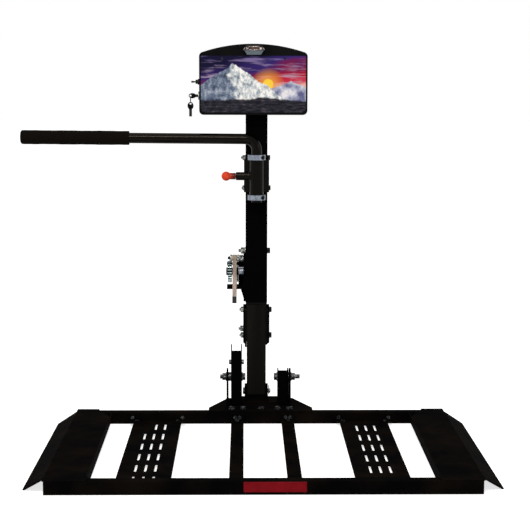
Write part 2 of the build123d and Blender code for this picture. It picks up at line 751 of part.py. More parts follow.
NUT_DEPTH = 60.0
NUT_FLANGE = 8.0
nut_size = INNER - 2 * INNER_WALL - 0.2
flange_size = OUTER - 2 * OUTER_WALL - 2 * GAP

with BuildPart() as drive_nut:
    with BuildSketch(Plane.XY.offset(INNER_TOP - NUT_DEPTH)):
        with Locations((MAST_X, MAST_Y)):
            RectangleRounded(nut_size, nut_size, 4)
    extrude(amount=NUT_DEPTH)
    with BuildSketch(Plane.XY.offset(INNER_TOP)):
        with Locations((MAST_X, MAST_Y)):
            RectangleRounded(flange_size, flange_size, 6)
    extrude(amount=NUT_FLANGE)
    rod_z(INNER_TOP - NUT_DEPTH, INNER_TOP + NUT_FLANGE, MAST_X, MAST_Y, SCREW_RADIUS + 0.1, Mode.SUBTRACT)
drive_nut.part.label = "drive_nut"
export_step(drive_nut.part, "parts/drive_nut.step")

# Outer mast tube and the plastic collar in its mouth

with BuildPart() as mast_outer_tube:
    square_tube(OUTER_BOTTOM, OUTER_TOP, OUTER, OUTER_WALL, OUTER_CORNER)
mast_outer_tube.part.label = "mast_outer_tube"
export_step(mast_outer_tube.part, "parts/mast_outer_tube.step")

GLIDE_HEIGHT = 6.0

with BuildPart() as mast_glide_collar:
    with BuildSketch(Plane.XY.offset(OUTER_BOTTOM - GLIDE_HEIGHT)):
        with Locations((MAST_X, MAST_Y)):
            RectangleRounded(OUTER - 1, OUTER - 1, 6)
            RectangleRounded(INNER + 2 * GAP, INNER + 2 * GAP, 4, mode=Mode.SUBTRACT)
    extrude(amount=GLIDE_HEIGHT)
    chamfer(mast_glide_collar.faces().sort_by(Axis.Z)[0].outer_wire().edges(), length=1.5)
mast_glide_collar.part.label = "mast_glide_collar"
export_step(mast_glide_collar.part, "parts/mast_glide_collar.step")

# Drive: lead screw, thrust bearing and gear motor

BEARING_RADIUS = 23.5
BEARING_HEIGHT = 17.0

with BuildPart() as lead_screw:
    rod_z(SCREW_BOTTOM, OUTER_TOP - BEARING_HEIGHT - 0.5, MAST_X, MAST_Y, SCREW_RADIUS)
    rod_z(OUTER_TOP - BEARING_HEIGHT - 0.5, MOTOR_Z - 2, MAST_X, MAST_Y, JOURNAL_RADIUS)
    chamfer(lead_screw.edges().sort_by(Axis.Z)[0], length=2)
lead_screw.part.label = "lead_screw"
export_step(lead_screw.part, "parts/lead_screw.step")

with BuildPart() as thrust_bearing:
    rod_z(OUTER_TOP - BEARING_HEIGHT, OUTER_TOP, MAST_X, MAST_Y, BEARING_RADIUS)
    journal_hole = JOURNAL_RADIUS + SHAFT_GAP
    rod_z(OUTER_TOP - BEARING_HEIGHT, OUTER_TOP, MAST_X, MAST_Y, journal_hole, Mode.SUBTRACT)
thrust_bearing.part.label = "thrust_bearing"
export_step(thrust_bearing.part, "parts/thrust_bearing.step")

GEARBOX_HALF = 36.0
GEARBOX_TOP = 996.0
GEARBOX_EDGE = 8.0
FLANGE_HALF = 38.0
FLANGE = 8.0
MOTOR_RADIUS = 31.0
MOTOR_END_X = -160.0

with BuildPart() as gear_motor:
    block(
        (MAST_X - FLANGE_HALF, MAST_Y - FLANGE_HALF, OUTER_TOP),
        (MAST_X + FLANGE_HALF, MAST_Y + FLANGE_HALF, OUTER_TOP + FLANGE),
    )
    block(
        (MAST_X - GEARBOX_HALF, MAST_Y - GEARBOX_HALF, OUTER_TOP + FLANGE),
        (MAST_X + GEARBOX_HALF, MAST_Y + GEARBOX_HALF, GEARBOX_TOP),
    )
    chamfer(gear_motor.edges().group_by(Axis.Z)[-1], length=GEARBOX_EDGE)
    rod_x(MOTOR_END_X, MAST_X - GEARBOX_HALF, MAST_Y, MOTOR_Z, MOTOR_RADIUS)
    fillet(gear_motor.edges().sort_by(Axis.X)[0], radius=4)
    rod_z(OUTER_TOP, MOTOR_Z, MAST_X, MAST_Y, JOURNAL_RADIUS + GAP, Mode.SUBTRACT)
gear_motor.part.label = "gear_motor"
export_step(gear_motor.part, "parts/gear_motor.step")

# Guide bracket: one bent plate round the inner tube and up the back of the outer tube

with BuildPart() as guide_bracket:
    block((MAST_X - GUIDE_HALF, MAST_REAR, GUIDE_BOTTOM), (MAST_X + GUIDE_HALF, SPINE_REAR, GUIDE_TOP))
    block((MAST_X - SPINE_HALF, MAST_REAR, GUIDE_TOP), (MAST_X + SPINE_HALF, SPINE_REAR, SPINE_TOP))
    for side in (-1, 1):
        with BuildSketch(side_plane(MAST_X + side * GUIDE_HALF)):
            with BuildLine():
                Polyline(
                    (MAST_REAR + 1, GUIDE_BOTTOM),
                    (GUIDE_CHEEK_Y + GUIDE_LOW_CORNER, GUIDE_BOTTOM),
                    (GUIDE_CHEEK_Y, GUIDE_BOTTOM + GUIDE_LOW_CORNER),
                    (GUIDE_CHEEK_Y, GUIDE_TOP - GUIDE_HIGH_CORNER),
                    (GUIDE_CHEEK_Y + GUIDE_HIGH_CORNER, GUIDE_TOP),
                    (MAST_REAR + 1, GUIDE_TOP),
                    close=True,
                )
            make_face()
        extrude(amount=-side * GUIDE_PLATE)
    low_edges = guide_bracket.edges().filter_by(Axis.Y).group_by(Axis.Z)[0]
    outer_low = [low_edges.sort_by(Axis.X)[0], low_edges.sort_by(Axis.X)[-1]]
    chamfer(outer_low, length=4)
    for gusset_x in (MAST_X - HITCH / 2, MAST_X + HITCH / 2 - GUSSET):
        with BuildSketch(side_plane(gusset_x)):
            with BuildLine():
                Polyline(
                    (SPINE_REAR, HITCH_Z + HITCH / 2),
                    (SPINE_REAR, GUSSET_TOP),
                    (SPINE_REAR + GUSSET_TIP[0], GUSSET_TOP),
                    (SPINE_REAR + GUSSET_REACH, HITCH_Z + HITCH / 2 + GUSSET_TIP[1]),
                    (SPINE_REAR + GUSSET_REACH, HITCH_Z + HITCH / 2),
                    close=True,
                )
            make_face()
        extrude(amount=GUSSET)
guide_bracket.part.label = "guide_bracket"
export_step(guide_bracket.part, "parts/guide_bracket.step")

PAD_INNER = INNER / 2 + GAP + 0.05
PAD_BOTTOM = 225.0
PAD_TOP = 318.0
PAD_FRONT_Y = 86.0
PAD_REAR_Y = 132.0
PAD_HALF = 20.0

with BuildPart() as guide_pads:
    for side in (-1, 1):
        near = MAST_X + side * PAD_INNER
        far = MAST_X + side * (GUIDE_HALF - GUIDE_PLATE)
        block((min(near, far), PAD_FRONT_Y, PAD_BOTTOM), (max(near, far), PAD_REAR_Y, PAD_TOP))
    block((MAST_X - PAD_HALF, MAST_Y + PAD_INNER, PAD_BOTTOM), (MAST_X + PAD_HALF, MAST_REAR, PAD_TOP))
guide_pads.part.label = "guide_pads"
export_step(guide_pads.part, "parts/guide_pads.step")

with BuildPart() as hitch_bar:
    with BuildSketch(front_plane(SPINE_REAR)):
        with Locations((MAST_X, HITCH_Z)):
            RectangleRounded(HITCH, HITCH, 4)
            hollow = HITCH - 2 * HITCH_WALL
            RectangleRounded(hollow, hollow, 2, mode=Mode.SUBTRACT)
    extrude(amount=SPINE_REAR - HITCH_END_Y)
    end_edges = hitch_bar.faces().sort_by(Axis.Y)[-1].outer_wire().edges()
    chamfer(end_edges, length=2)
    pin_y = HITCH_END_Y - HITCH_PIN_FROM_END
    rod_x(MAST_X - HITCH, MAST_X + HITCH, pin_y, HITCH_Z, HITCH_PIN_RADIUS, Mode.SUBTRACT)
hitch_bar.part.label = "hitch_bar"
export_step(hitch_bar.part, "parts/hitch_bar.step")

# Bolt heads and nuts on the mast and its brackets: (x of the seat, reach, y, z, radius)

SADDLE_HALF = OUTER / 2 + SADDLE_PLATE
RATCHET_BOLT_Z = 492.0
SADDLE_BOLT_Z = (677.0, 765.5)
GUIDE_BOLT_Z = (239.0, 316.0)
GUIDE_SCREW_Z = 259.0
GUIDE_SCREW_HEX = 6.0
SPINE_BOLT_X = 9.0
SPINE_BOLT_Z = (346.0, 412.0)
LAMP_SCREW_RADIUS = 3.2
LAMP_SCREW_HEAD = 1.8
LARGE_HEX = 8.5
RATCHET_NUT = 9.4
MIDDLE_HEX = 7.5
SIDE_BOLTS = (
    (MAST_LEFT, -21.0, MAST_Y, RATCHET_BOLT_Z, RATCHET_NUT),
    (MAST_RIGHT, 9.0, MAST_Y, RATCHET_BOLT_Z, LARGE_HEX),
    (MAST_LEFT, -14.0, MAST_Y, SADDLE_BOLT_Z[1], MIDDLE_HEX),
    (MAST_RIGHT, 8.5, MAST_Y, SADDLE_BOLT_Z[1], MIDDLE_HEX),
    (MAST_X - SADDLE_HALF, -7.0, MAST_Y, SADDLE_BOLT_Z[0], MIDDLE_HEX),
    (MAST_X + SADDLE_HALF, 5.0, MAST_Y, SADDLE_BOLT_Z[0], MIDDLE_HEX),
    (MAST_X - GUIDE_HALF, -11.4, MAST_Y, GUIDE_BOLT_Z[1], LARGE_HEX),
    (MAST_X + GUIDE_HALF, 7.0, MAST_Y, GUIDE_BOLT_Z[1], LARGE_HEX),
    (MAST_X - GUIDE_HALF, -11.4, MAST_Y, GUIDE_BOLT_Z[0], LARGE_HEX),
    (MAST_X + GUIDE_HALF, 7.0, MAST_Y, GUIDE_BOLT_Z[0], LARGE_HEX),
    (MAST_X - GUIDE_HALF, -14.0, MAST_Y, GUIDE_SCREW_Z, GUIDE_SCREW_HEX),
)

with BuildPart() as mast_bolts:
    for seat_x, reach, bolt_y, bolt_z, radius in SIDE_BOLTS:
        low_x = min(seat_x, seat_x + reach)
        hex_x(low_x, low_x + abs(reach), bolt_y, bolt_z, radius)
    for bolt_x in (MAST_X - SPINE_BOLT_X, MAST_X + SPINE_BOLT_X):
        for bolt_z in SPINE_BOLT_Z:
            hex_y(SPINE_REAR, SPINE_REAR + 6, bolt_x, bolt_z, MIDDLE_HEX)
    # Lamp screws, round heads with a slot
    for side in (-1, 1):
        screw_x = LAMP_X + side * LAMP_SCREW_REACH
        face_y = HEAD_FRONT_Y - LAMP_DEPTH
        rod_y(face_y - LAMP_SCREW_HEAD, face_y, screw_x, LAMP_SCREW_Z, LAMP_SCREW_RADIUS)
        block(
            (screw_x - LAMP_SCREW_RADIUS, face_y - LAMP_SCREW_HEAD, LAMP_SCREW_Z - 0.5),
            (screw_x + LAMP_SCREW_RADIUS, face_y - LAMP_SCREW_HEAD / 2, LAMP_SCREW_Z + 0.5),
            mode=Mode.SUBTRACT,
        )
mast_bolts.part.label = "mast_bolts"
export_step(mast_bolts.part, "parts/mast_bolts.step")

# Motor head: two shells split behind the display panel


def head_block(front_y, rear_y):
    """A solid slice of the head: flat sides and foot under a shallow arch, in the open part."""
    left = HEAD_X - HEAD_HALF
    right = HEAD_X + HEAD_HALF
    centre_z = HEAD_TOP - HEAD_ARCH_RADIUS
    shoulder_z = centre_z + (HEAD_ARCH_RADIUS**2 - HEAD_HALF**2) ** 0.5
    with BuildSketch(front_plane(rear_y)) as outline:
        with BuildLine():
            Polyline((right, shoulder_z), (right, HEAD_BOTTOM), (left, HEAD_BOTTOM), (left, shoulder_z))
            ThreePointArc((left, shoulder_z), (HEAD_X, HEAD_TOP), (right, shoulder_z))
        make_face()
        fillet(outline.vertices(), radius=HEAD_CORNER)
    extrude(outline.sketch, amount=rear_y - front_y)


with BuildPart() as head_front_cover:
    head_block(HEAD_FRONT_Y, HEAD_SPLIT_Y)
    front_edges = head_front_cover.faces().sort_by(Axis.Y)[0].edges()
    fillet(front_edges, radius=3.5)
    offset(amount=-HEAD_WALL, openings=head_front_cover.faces().sort_by(Axis.Y)[-1])
    for hole_z, hole_radius in ((TOGGLE_Z, 6.2), (KEY_Z, 9.7)):
        rod_x(HEAD_LEFT - 1, HEAD_LEFT + 5, SWITCH_Y, hole_z, hole_radius, Mode.SUBTRACT)
head_front_cover.part.label = "head_front_cover"
export_step(head_front_cover.part, "parts/head_front_cover.step")

# Cable gland low on the back of the head
GLAND_X = 62.0
GLAND_Z = 916.0
GLAND_RADIUS = 8.0
GLAND_HEX = 12.0
GLAND_BORE = 4.0
GLAND_NUT = 8.0
GLAND_CONE = 9.0
GLAND_INSIDE = 12.0

with BuildPart() as head_rear_cover:
    head_block(HEAD_SPLIT_Y, HEAD_REAR_Y)
    rear_edges = head_rear_cover.faces().sort_by(Axis.Y)[-1].edges()
    fillet(rear_edges, radius=11)
    offset(amount=-HEAD_WALL, openings=head_rear_cover.faces().sort_by(Axis.Y)[0])
    hole = OUTER / 2 + 0.3
    block(
        (MAST_X - hole, MAST_Y - hole, HEAD_BOTTOM - 1),
        (MAST_X + hole, MAST_Y + hole, HEAD_BOTTOM + 8),
        mode=Mode.SUBTRACT,
    )
    rod_y(HEAD_REAR_Y - 5, HEAD_REAR_Y + 1, GLAND_X, GLAND_Z, GLAND_RADIUS + 0.1, Mode.SUBTRACT)
head_rear_cover.part.label = "head_rear_cover"
export_step(head_rear_cover.part, "parts/head_rear_cover.step")

with BuildPart() as cable_gland:
    gland_end_y = HEAD_REAR_Y + GLAND_NUT + GLAND_CONE
    rod_y(HEAD_REAR_Y - GLAND_INSIDE, HEAD_REAR_Y + 3, GLAND_X, GLAND_Z, GLAND_RADIUS)
    hex_y(HEAD_REAR_Y, HEAD_REAR_Y + GLAND_NUT, GLAND_X, GLAND_Z, GLAND_HEX)
    with BuildSketch(front_plane(HEAD_REAR_Y + GLAND_NUT)):
        with Locations((GLAND_X, GLAND_Z)):
            Circle(GLAND_RADIUS + 1)
    extrude(amount=-GLAND_CONE, taper=14)
    rod_y(HEAD_REAR_Y - GLAND_INSIDE - 1, gland_end_y + 1, GLAND_X, GLAND_Z, GLAND_BORE, Mode.SUBTRACT)
cable_gland.part.label = "cable_gland"
export_step(cable_gland.part, "parts/cable_gland.step")

with BuildPart() as display_panel:
    with BuildSketch(front_plane(HEAD_FRONT_Y)) as panel_outline:
        with Locations((HEAD_X, (PANEL_BOTTOM + PANEL_TOP) / 2)):
            Rectangle(PANEL_WIDTH, PANEL_TOP - PANEL_BOTTOM)
        low_corners = panel_outline.vertices().group_by(Axis.Y)[0]
        fillet(low_corners, radius=12)
        high_corners = panel_outline.vertices().group_by(Axis.Y)[-1]
        fillet(high_corners, radius=3)
    extrude(amount=PANEL_THICK)
display_panel.part.label = "display_panel"
export_step(display_panel.part, "parts/display_panel.step")

with BuildPart() as lamp_housing:
    with BuildSketch(side_plane(LAMP_X - LAMP_HALF)):
        with BuildLine():
            Polyline(
                (HEAD_FRONT_Y, LAMP_SPLIT_Z),
                (HEAD_FRONT_Y - LAMP_DEPTH, LAMP_SPLIT_Z),
                (HEAD_FRONT_Y - LAMP_DEPTH, LAMP_TOP_Z - LAMP_CROWN),
                (HEAD_FRONT_Y - LAMP_DEPTH + LAMP_CROWN, LAMP_TOP_Z),
                (HEAD_FRONT_Y, LAMP_TOP_Z),
                close=True,
            )
        make_face()
    extrude(amount=2 * LAMP_HALF)
    # Both sides lean in towards the top, as the lens does towards its foot
    for side in (-1, 1):
        with BuildSketch(front_plane(HEAD_FRONT_Y)):
            with BuildLine():
                Polyline(
                    (LAMP_X + side * LAMP_HALF, LAMP_SPLIT_Z + 1),
                    (LAMP_X + side * LAMP_TOP_HALF, LAMP_TOP_Z),
                    (LAMP_X + side * (LAMP_HALF + 1), LAMP_TOP_Z + 1),
                    (LAMP_X + side * (LAMP_HALF + 1), LAMP_SPLIT_Z + 1),
                    close=True,
                )
            make_face()
        extrude(amount=LAMP_DEPTH + 1, mode=Mode.SUBTRACT)
    with BuildSketch(front_plane(HEAD_FRONT_Y - LAMP_DEPTH)):
        with Locations((LAMP_X, (LAMP_SPLIT_Z + LAMP_TOP_Z) / 2 - 1)):
            RectangleRounded(*LAMP_RECESS, 1.5)
    extrude(amount=-2, mode=Mode.SUBTRACT)
lamp_housing.part.label = "lamp_housing"
export_step(lamp_housing.part, "parts/lamp_housing.step")

with BuildPart() as lamp_lens:
    with BuildSketch(side_plane(LAMP_X - LAMP_HALF + 3)):
        with BuildLine():
            Polyline(
                (HEAD_FRONT_Y, LAMP_SPLIT_Z),
                (HEAD_FRONT_Y - LAMP_DEPTH + 1, LAMP_SPLIT_Z),
                (HEAD_FRONT_Y - 4, LAMP_BOTTOM_Z),
                (HEAD_FRONT_Y, LAMP_BOTTOM_Z),
                close=True,
            )
        make_face()
    extrude(amount=2 * (LAMP_HALF - 3))
    for side in (-1, 1):
        with BuildSketch(front_plane(HEAD_FRONT_Y)):
            with BuildLine():
                Polyline(
                    (LAMP_X + side * (LAMP_HALF - 3), LAMP_SPLIT_Z),
                    (LAMP_X + side * (LAMP_HALF + 1), LAMP_SPLIT_Z),
                    (LAMP_X + side * (LAMP_HALF + 1), LAMP_BOTTOM_Z),
                    (LAMP_X + side * (LAMP_HALF - 11), LAMP_BOTTOM_Z),
                    close=True,
                )
            make_face()
        extrude(amount=LAMP_DEPTH + 1, mode=Mode.SUBTRACT)
lamp_lens.part.label = "lamp_lens"
export_step(lamp_lens.part, "parts/lamp_lens.step")

BOARD_LEFT = 34.0
BOARD_RIGHT = 118.0
BOARD_BOTTOM = 926.0
BOARD_TOP = 1010.0
BOARD_Y = 146.0
BOARD_THICK = 1.6
POST_INSET = 6.0
RELAY = (24.0, 22.0, 28.0)
RELAY_X = (14.0, 46.0)
RELAY_Z = 44.0
TERMINAL_X = (14.0, 70.0)
TERMINAL_Z = (10.0, 24.0)
TERMINAL_DEPTH = 10.0

with BuildPart() as control_board:
    block((BOARD_LEFT, BOARD_Y, BOARD_BOTTOM), (BOARD_RIGHT, BOARD_Y + BOARD_THICK, BOARD_TOP))
    for post_x in (BOARD_LEFT + POST_INSET, BOARD_RIGHT - POST_INSET):
        for post_z in (BOARD_BOTTOM + POST_INSET, BOARD_TOP - POST_INSET):
            rod_y(BOARD_Y + BOARD_THICK, HEAD_REAR_Y - HEAD_WALL, post_x, post_z, 3)
    relay_z = BOARD_BOTTOM + RELAY_Z
    for offset_x in RELAY_X:
        relay_x = BOARD_LEFT + offset_x
        block((relay_x, BOARD_Y - RELAY[1], relay_z), (relay_x + RELAY[0], BOARD_Y, relay_z + RELAY[2]))
    block(
        (BOARD_LEFT + TERMINAL_X[0], BOARD_Y - TERMINAL_DEPTH, BOARD_BOTTOM + TERMINAL_Z[0]),
        (BOARD_LEFT + TERMINAL_X[1], BOARD_Y, BOARD_BOTTOM + TERMINAL_Z[1]),
    )
control_board.part.label = "control_board"
export_step(control_board.part, "parts/control_board.step")

# Up-down toggle switch on the left side of the head

TOGGLE_PIVOT_X = HEAD_LEFT - 6.3
TOGGLE_TIP_X = -199.5
BUSH_END_X = HEAD_LEFT - 10.5
BUSH_RADIUS = 6.0
BUSH_NUT = 4.0
BUSH_HEX = 9.5
SWITCH_BODY = (26.0, 10.0, 12.0)

with BuildPart() as toggle_switch:
    rod_x(BUSH_END_X, HEAD_LEFT + HEAD_WALL, SWITCH_Y, TOGGLE_Z, BUSH_RADIUS)
    hex_x(HEAD_LEFT - BUSH_NUT, HEAD_LEFT, SWITCH_Y, TOGGLE_Z, BUSH_HEX)
    block(
        (HEAD_LEFT + HEAD_WALL, SWITCH_Y - SWITCH_BODY[1], TOGGLE_Z - SWITCH_BODY[2]),
        (HEAD_LEFT + SWITCH_BODY[0], SWITCH_Y + SWITCH_BODY[1], TOGGLE_Z + SWITCH_BODY[2]),
    )
    rod_x(BUSH_END_X - 1, HEAD_LEFT - 1, SWITCH_Y, TOGGLE_Z, BUSH_RADIUS - 1, Mode.SUBTRACT)
toggle_switch.part.label = "toggle_switch"
export_step(toggle_switch.part, "parts/toggle_switch.step")

TOGGLE_BALL = 4.6
TOGGLE_ROOT = 1.7
TOGGLE_TIP = 2.9

with BuildPart() as toggle_lever:
    ball_join_x = TOGGLE_PIVOT_X - (TOGGLE_BALL**2 - TOGGLE_ROOT**2) ** 0.5
    with BuildSketch(front_plane(SWITCH_Y)):
        with BuildLine():
            ThreePointArc(
                (TOGGLE_PIVOT_X + TOGGLE_BALL, TOGGLE_Z),
                (TOGGLE_PIVOT_X, TOGGLE_Z + TOGGLE_BALL),
                (ball_join_x, TOGGLE_Z + TOGGLE_ROOT),
            )
            tip_centre_x = TOGGLE_TIP_X + TOGGLE_TIP
            Line((ball_join_x, TOGGLE_Z + TOGGLE_ROOT), (tip_centre_x, TOGGLE_Z + TOGGLE_TIP))
            ThreePointArc(
                (tip_centre_x, TOGGLE_Z + TOGGLE_TIP),
                (tip_centre_x - TOGGLE_TIP * sin(radians(45)), TOGGLE_Z + TOGGLE_TIP * cos(radians(45))),
                (TOGGLE_TIP_X, TOGGLE_Z),
            )
            Line((TOGGLE_TIP_X, TOGGLE_Z), (TOGGLE_PIVOT_X + TOGGLE_BALL, TOGGLE_Z))
        make_face()
    revolve(axis=Axis((0, SWITCH_Y, TOGGLE_Z), (1, 0, 0)))
toggle_lever.part.label = "toggle_lever"
export_step(toggle_lever.part, "parts/toggle_lever.step")

# Key switch, its turning plug and the key in it

LOCK_FACE_X = HEAD_LEFT - 3.0
PLUG_RADIUS = 6.0
LOCK_RADIUS = 9.5
LOCK_FLANGE_RADIUS = 12.0
LOCK_DEPTH = 27.0
PLUG_DEPTH_X = 21.0
BLADE_DEPTH = 18.0
BLADE_HALF = 4.0

with BuildPart() as key_switch:
    rod_x(LOCK_FACE_X, HEAD_LEFT, SWITCH_Y, KEY_Z, LOCK_FLANGE_RADIUS)
    rod_x(HEAD_LEFT, HEAD_LEFT + LOCK_DEPTH, SWITCH_Y, KEY_Z, LOCK_RADIUS)
    bore_end_x = HEAD_LEFT + PLUG_DEPTH_X + 1
    rod_x(LOCK_FACE_X - 1, bore_end_x, SWITCH_Y, KEY_Z, PLUG_RADIUS + GAP, Mode.SUBTRACT)
key_switch.part.label = "key_switch"
export_step(key_switch.part, "parts/key_switch.step")

with BuildPart() as lock_plug:
    rod_x(LOCK_FACE_X - 0.5, HEAD_LEFT + PLUG_DEPTH_X, SWITCH_Y, KEY_Z, PLUG_RADIUS)
    block(
        (LOCK_FACE_X - 2, SWITCH_Y - 1.4, KEY_Z - BLADE_HALF - 0.2),
        (HEAD_LEFT + BLADE_DEPTH + 0.4, SWITCH_Y + 1.4, KEY_Z + BLADE_HALF + 0.2),
        mode=Mode.SUBTRACT,
    )
lock_plug.part.label = "lock_plug"
export_step(lock_plug.part, "parts/lock_plug.step")

KEY_HOLE_RADIUS = 2.8
KEY_HOLE_X = -201.5
BOW_HALF_LENGTH = 9.5
BOW_HALF_WIDTH = 6.4
KEY_HALF_THICK = 1.1
BOW_X = -196.0
BOW_FROM_HOLE = 5.5
SPARE_KEY_TIP_Z = 886.0


def key_blank(hole_mark, bow_mark, blade_end, upright_key):
    """A flat key: oval bow with a hole, and a straight blade.

    Marks are stations along the key. The key lies along X, or along Z when
    upright_key is true, and is flat across Y."""
    with BuildPart() as key:
        if upright_key:
            across, along = (1, 0), (0, 1)
        else:
            across, along = (0, 1), (1, 0)

        def place(station, offset):
            return (
                along[0] * station + across[0] * offset,
                along[1] * station + across[1] * offset,
            )

        side_middle = KEY_HOLE_X if upright_key else KEY_Z
        with BuildSketch(front_plane(SWITCH_Y + KEY_HALF_THICK)):
            with Locations(place(bow_mark, side_middle)):
                if upright_key:
                    Ellipse(BOW_HALF_WIDTH, BOW_HALF_LENGTH)
                else:
                    Ellipse(BOW_HALF_LENGTH, BOW_HALF_WIDTH)
            blade = abs(blade_end - bow_mark)
            with Locations(place((blade_end + bow_mark) / 2, side_middle)):
                if upright_key:
                    Rectangle(2 * BLADE_HALF, blade)
                else:
                    Rectangle(blade, 2 * BLADE_HALF)
            with Locations(place(hole_mark, side_middle)):
                Circle(KEY_HOLE_RADIUS, mode=Mode.SUBTRACT)
        extrude(amount=2 * KEY_HALF_THICK)
    return key


ignition_key = key_blank(KEY_HOLE_X, BOW_X, HEAD_LEFT + BLADE_DEPTH, False)
ignition_key.part.label = "ignition_key"
export_step(ignition_key.part, "parts/ignition_key.step")

RING_RADIUS = 9.5
RING_WIRE = 1.0
HANG = KEY_HOLE_RADIUS - RING_WIRE - 0.1
RING_Z = KEY_Z - HANG - RING_RADIUS
SPARE_HOLE_Z = RING_Z - RING_RADIUS - HANG

with BuildPart() as key_ring:
    with BuildSketch(Plane.XY.offset(RING_Z)):
        with Locations((KEY_HOLE_X, SWITCH_Y + RING_RADIUS)):
            Circle(RING_WIRE)
    revolve(axis=Axis((KEY_HOLE_X, SWITCH_Y, RING_Z), (1, 0, 0)))
key_ring.part.label = "key_ring"
export_step(key_ring.part, "parts/key_ring.step")

spare_key = key_blank(SPARE_HOLE_Z, SPARE_HOLE_Z - BOW_FROM_HOLE, SPARE_KEY_TIP_Z, True)
spare_key.part.label = "spare_key"
export_step(spare_key.part, "parts/spare_key.step")

# Hold-down arm: saddle bracket with its sleeve, plunger, tube, grip and collars

WEB_FRONT_Y = 69.0
SADDLE_REAR_Y = 132.0
SADDLE_CORNER = 10.0
SADDLE_FRONT_Y = WEB_FRONT_Y + 3.0
SADDLE_EAR_Y = WEB_FRONT_Y + 9.5

with BuildPart() as arm_bracket:
    block((MAST_X - SADDLE_HALF, WEB_FRONT_Y, SADDLE_BOTTOM), (MAST_X + SADDLE_HALF, MAST_FRONT, SLEEVE_TOP))
    for side in (-1, 1):
        with BuildSketch(side_plane(MAST_X + side * SADDLE_HALF)):
            with BuildLine():
                Polyline(
                    (SADDLE_FRONT_Y, SADDLE_BOTTOM),
                    (SADDLE_REAR_Y - SADDLE_CORNER, SADDLE_BOTTOM),
                    (SADDLE_REAR_Y, SADDLE_BOTTOM + SADDLE_CORNER),
                    (SADDLE_REAR_Y, SADDLE_TOP - SADDLE_CORNER),
                    (SADDLE_REAR_Y - SADDLE_CORNER, SADDLE_TOP),
                    (SADDLE_EAR_Y, SADDLE_TOP),
                    (SADDLE_FRONT_Y, SLEEVE_TOP),
                    close=True,
                )
            make_face()
        extrude(amount=-side * SADDLE_PLATE)
    rod_z(SLEEVE_BOTTOM, SLEEVE_TOP, MAST_X, ARM_Y, SLEEVE_RADIUS)
    # Spring barrel of the index plunger
    rod_x(BARREL_END_X, MAST_X - SLEEVE_RADIUS + 4, ARM_Y, PLUNGER_Z, BARREL_RADIUS)
    chamfer(arm_bracket.faces().sort_by(Axis.X)[0].outer_wire().edges(), length=1.5)
    rod_z(SLEEVE_BOTTOM - 1, SLEEVE_TOP + 1, MAST_X, ARM_Y, ARM_RADIUS + GAP, Mode.SUBTRACT)
    rod_x(BARREL_END_X - 1, MAST_X, ARM_Y, PLUNGER_Z, PLUNGER_PIN_RADIUS + GAP, Mode.SUBTRACT)
arm_bracket.part.label = "arm_bracket"
export_step(arm_bracket.part, "parts/arm_bracket.step")

PIN_TIP_X = MAST_X - ARM_RADIUS + GROOVE_DEPTH - 0.4

KNOB_LEFT = -113.5
BALL_RADIUS = 13.5
BALL_X = KNOB_LEFT + BALL_RADIUS
NECK_RADIUS = 9.5
NECK_END_X = BARREL_END_X - GAP
PIN_END_X = BALL_X + 4

with BuildPart() as plunger_pin:
    rod_x(PIN_END_X, PIN_TIP_X, ARM_Y, PLUNGER_Z, PLUNGER_PIN_RADIUS)
    chamfer(plunger_pin.edges().sort_by(Axis.X)[-1], length=0.8)
plunger_pin.part.label = "plunger_pin"
export_step(plunger_pin.part, "parts/plunger_pin.step")

with BuildPart() as plunger_knob:
    ball_join_x = BALL_X + (BALL_RADIUS**2 - NECK_RADIUS**2) ** 0.5
    with BuildSketch(front_plane(ARM_Y)):
        with BuildLine():
            ThreePointArc(
                (KNOB_LEFT, PLUNGER_Z),
                (BALL_X, PLUNGER_Z + BALL_RADIUS),
                (ball_join_x, PLUNGER_Z + NECK_RADIUS),
            )
            Polyline(
                (ball_join_x, PLUNGER_Z + NECK_RADIUS),
                (NECK_END_X - 1.5, PLUNGER_Z + NECK_RADIUS),
                (NECK_END_X, PLUNGER_Z + NECK_RADIUS - 1.5),
                (NECK_END_X, PLUNGER_Z + PLUNGER_PIN_RADIUS),
                (PIN_END_X, PLUNGER_Z + PLUNGER_PIN_RADIUS),
                (PIN_END_X, PLUNGER_Z),
                (KNOB_LEFT, PLUNGER_Z),
            )
        make_face()
    revolve(axis=Axis((0, ARM_Y, PLUNGER_Z), (1, 0, 0)))
plunger_knob.part.label = "plunger_knob"
export_step(plunger_knob.part, "parts/plunger_knob.step")

with BuildPart() as arm_tube:
    with BuildLine(front_plane(ARM_Y)) as arm_route:
        FilletPolyline(
            (MAST_X, ARM_BOTTOM),
            (MAST_X, ARM_Z),
            (ARM_END_X, ARM_END_Z),
            radius=ARM_BEND,
        )
    with BuildSketch(Plane.XY.offset(ARM_BOTTOM)):
        with Locations((MAST_X, ARM_Y)):
            Circle(ARM_RADIUS)
            Circle(ARM_RADIUS - ARM_WALL, mode=Mode.SUBTRACT)
    sweep(path=arm_route.wire())
    # Half-turn groove for the index pin, round the back of the leg
    with BuildSketch(Plane.XY.offset(PLUNGER_Z - GROOVE_HEIGHT / 2)):
        with Locations((MAST_X, ARM_Y)):
            Circle(ARM_RADIUS + 2)
            Circle(ARM_RADIUS - GROOVE_DEPTH, mode=Mode.SUBTRACT)
        with Locations((MAST_X, ARM_Y - GROOVE_HEIGHT / 2 - 20)):
            Rectangle(60, 40, mode=Mode.SUBTRACT)
    extrude(amount=GROOVE_HEIGHT, mode=Mode.SUBTRACT)
arm_tube.part.label = "arm_tube"
export_step(arm_tube.part, "parts/arm_tube.step")

arm_run = Plane(
    origin=(ARM_END_X, ARM_Y, ARM_END_Z),
    x_dir=(0, 1, 0),
    z_dir=(MAST_X - ARM_END_X, 0, ARM_Z - ARM_END_Z),
)

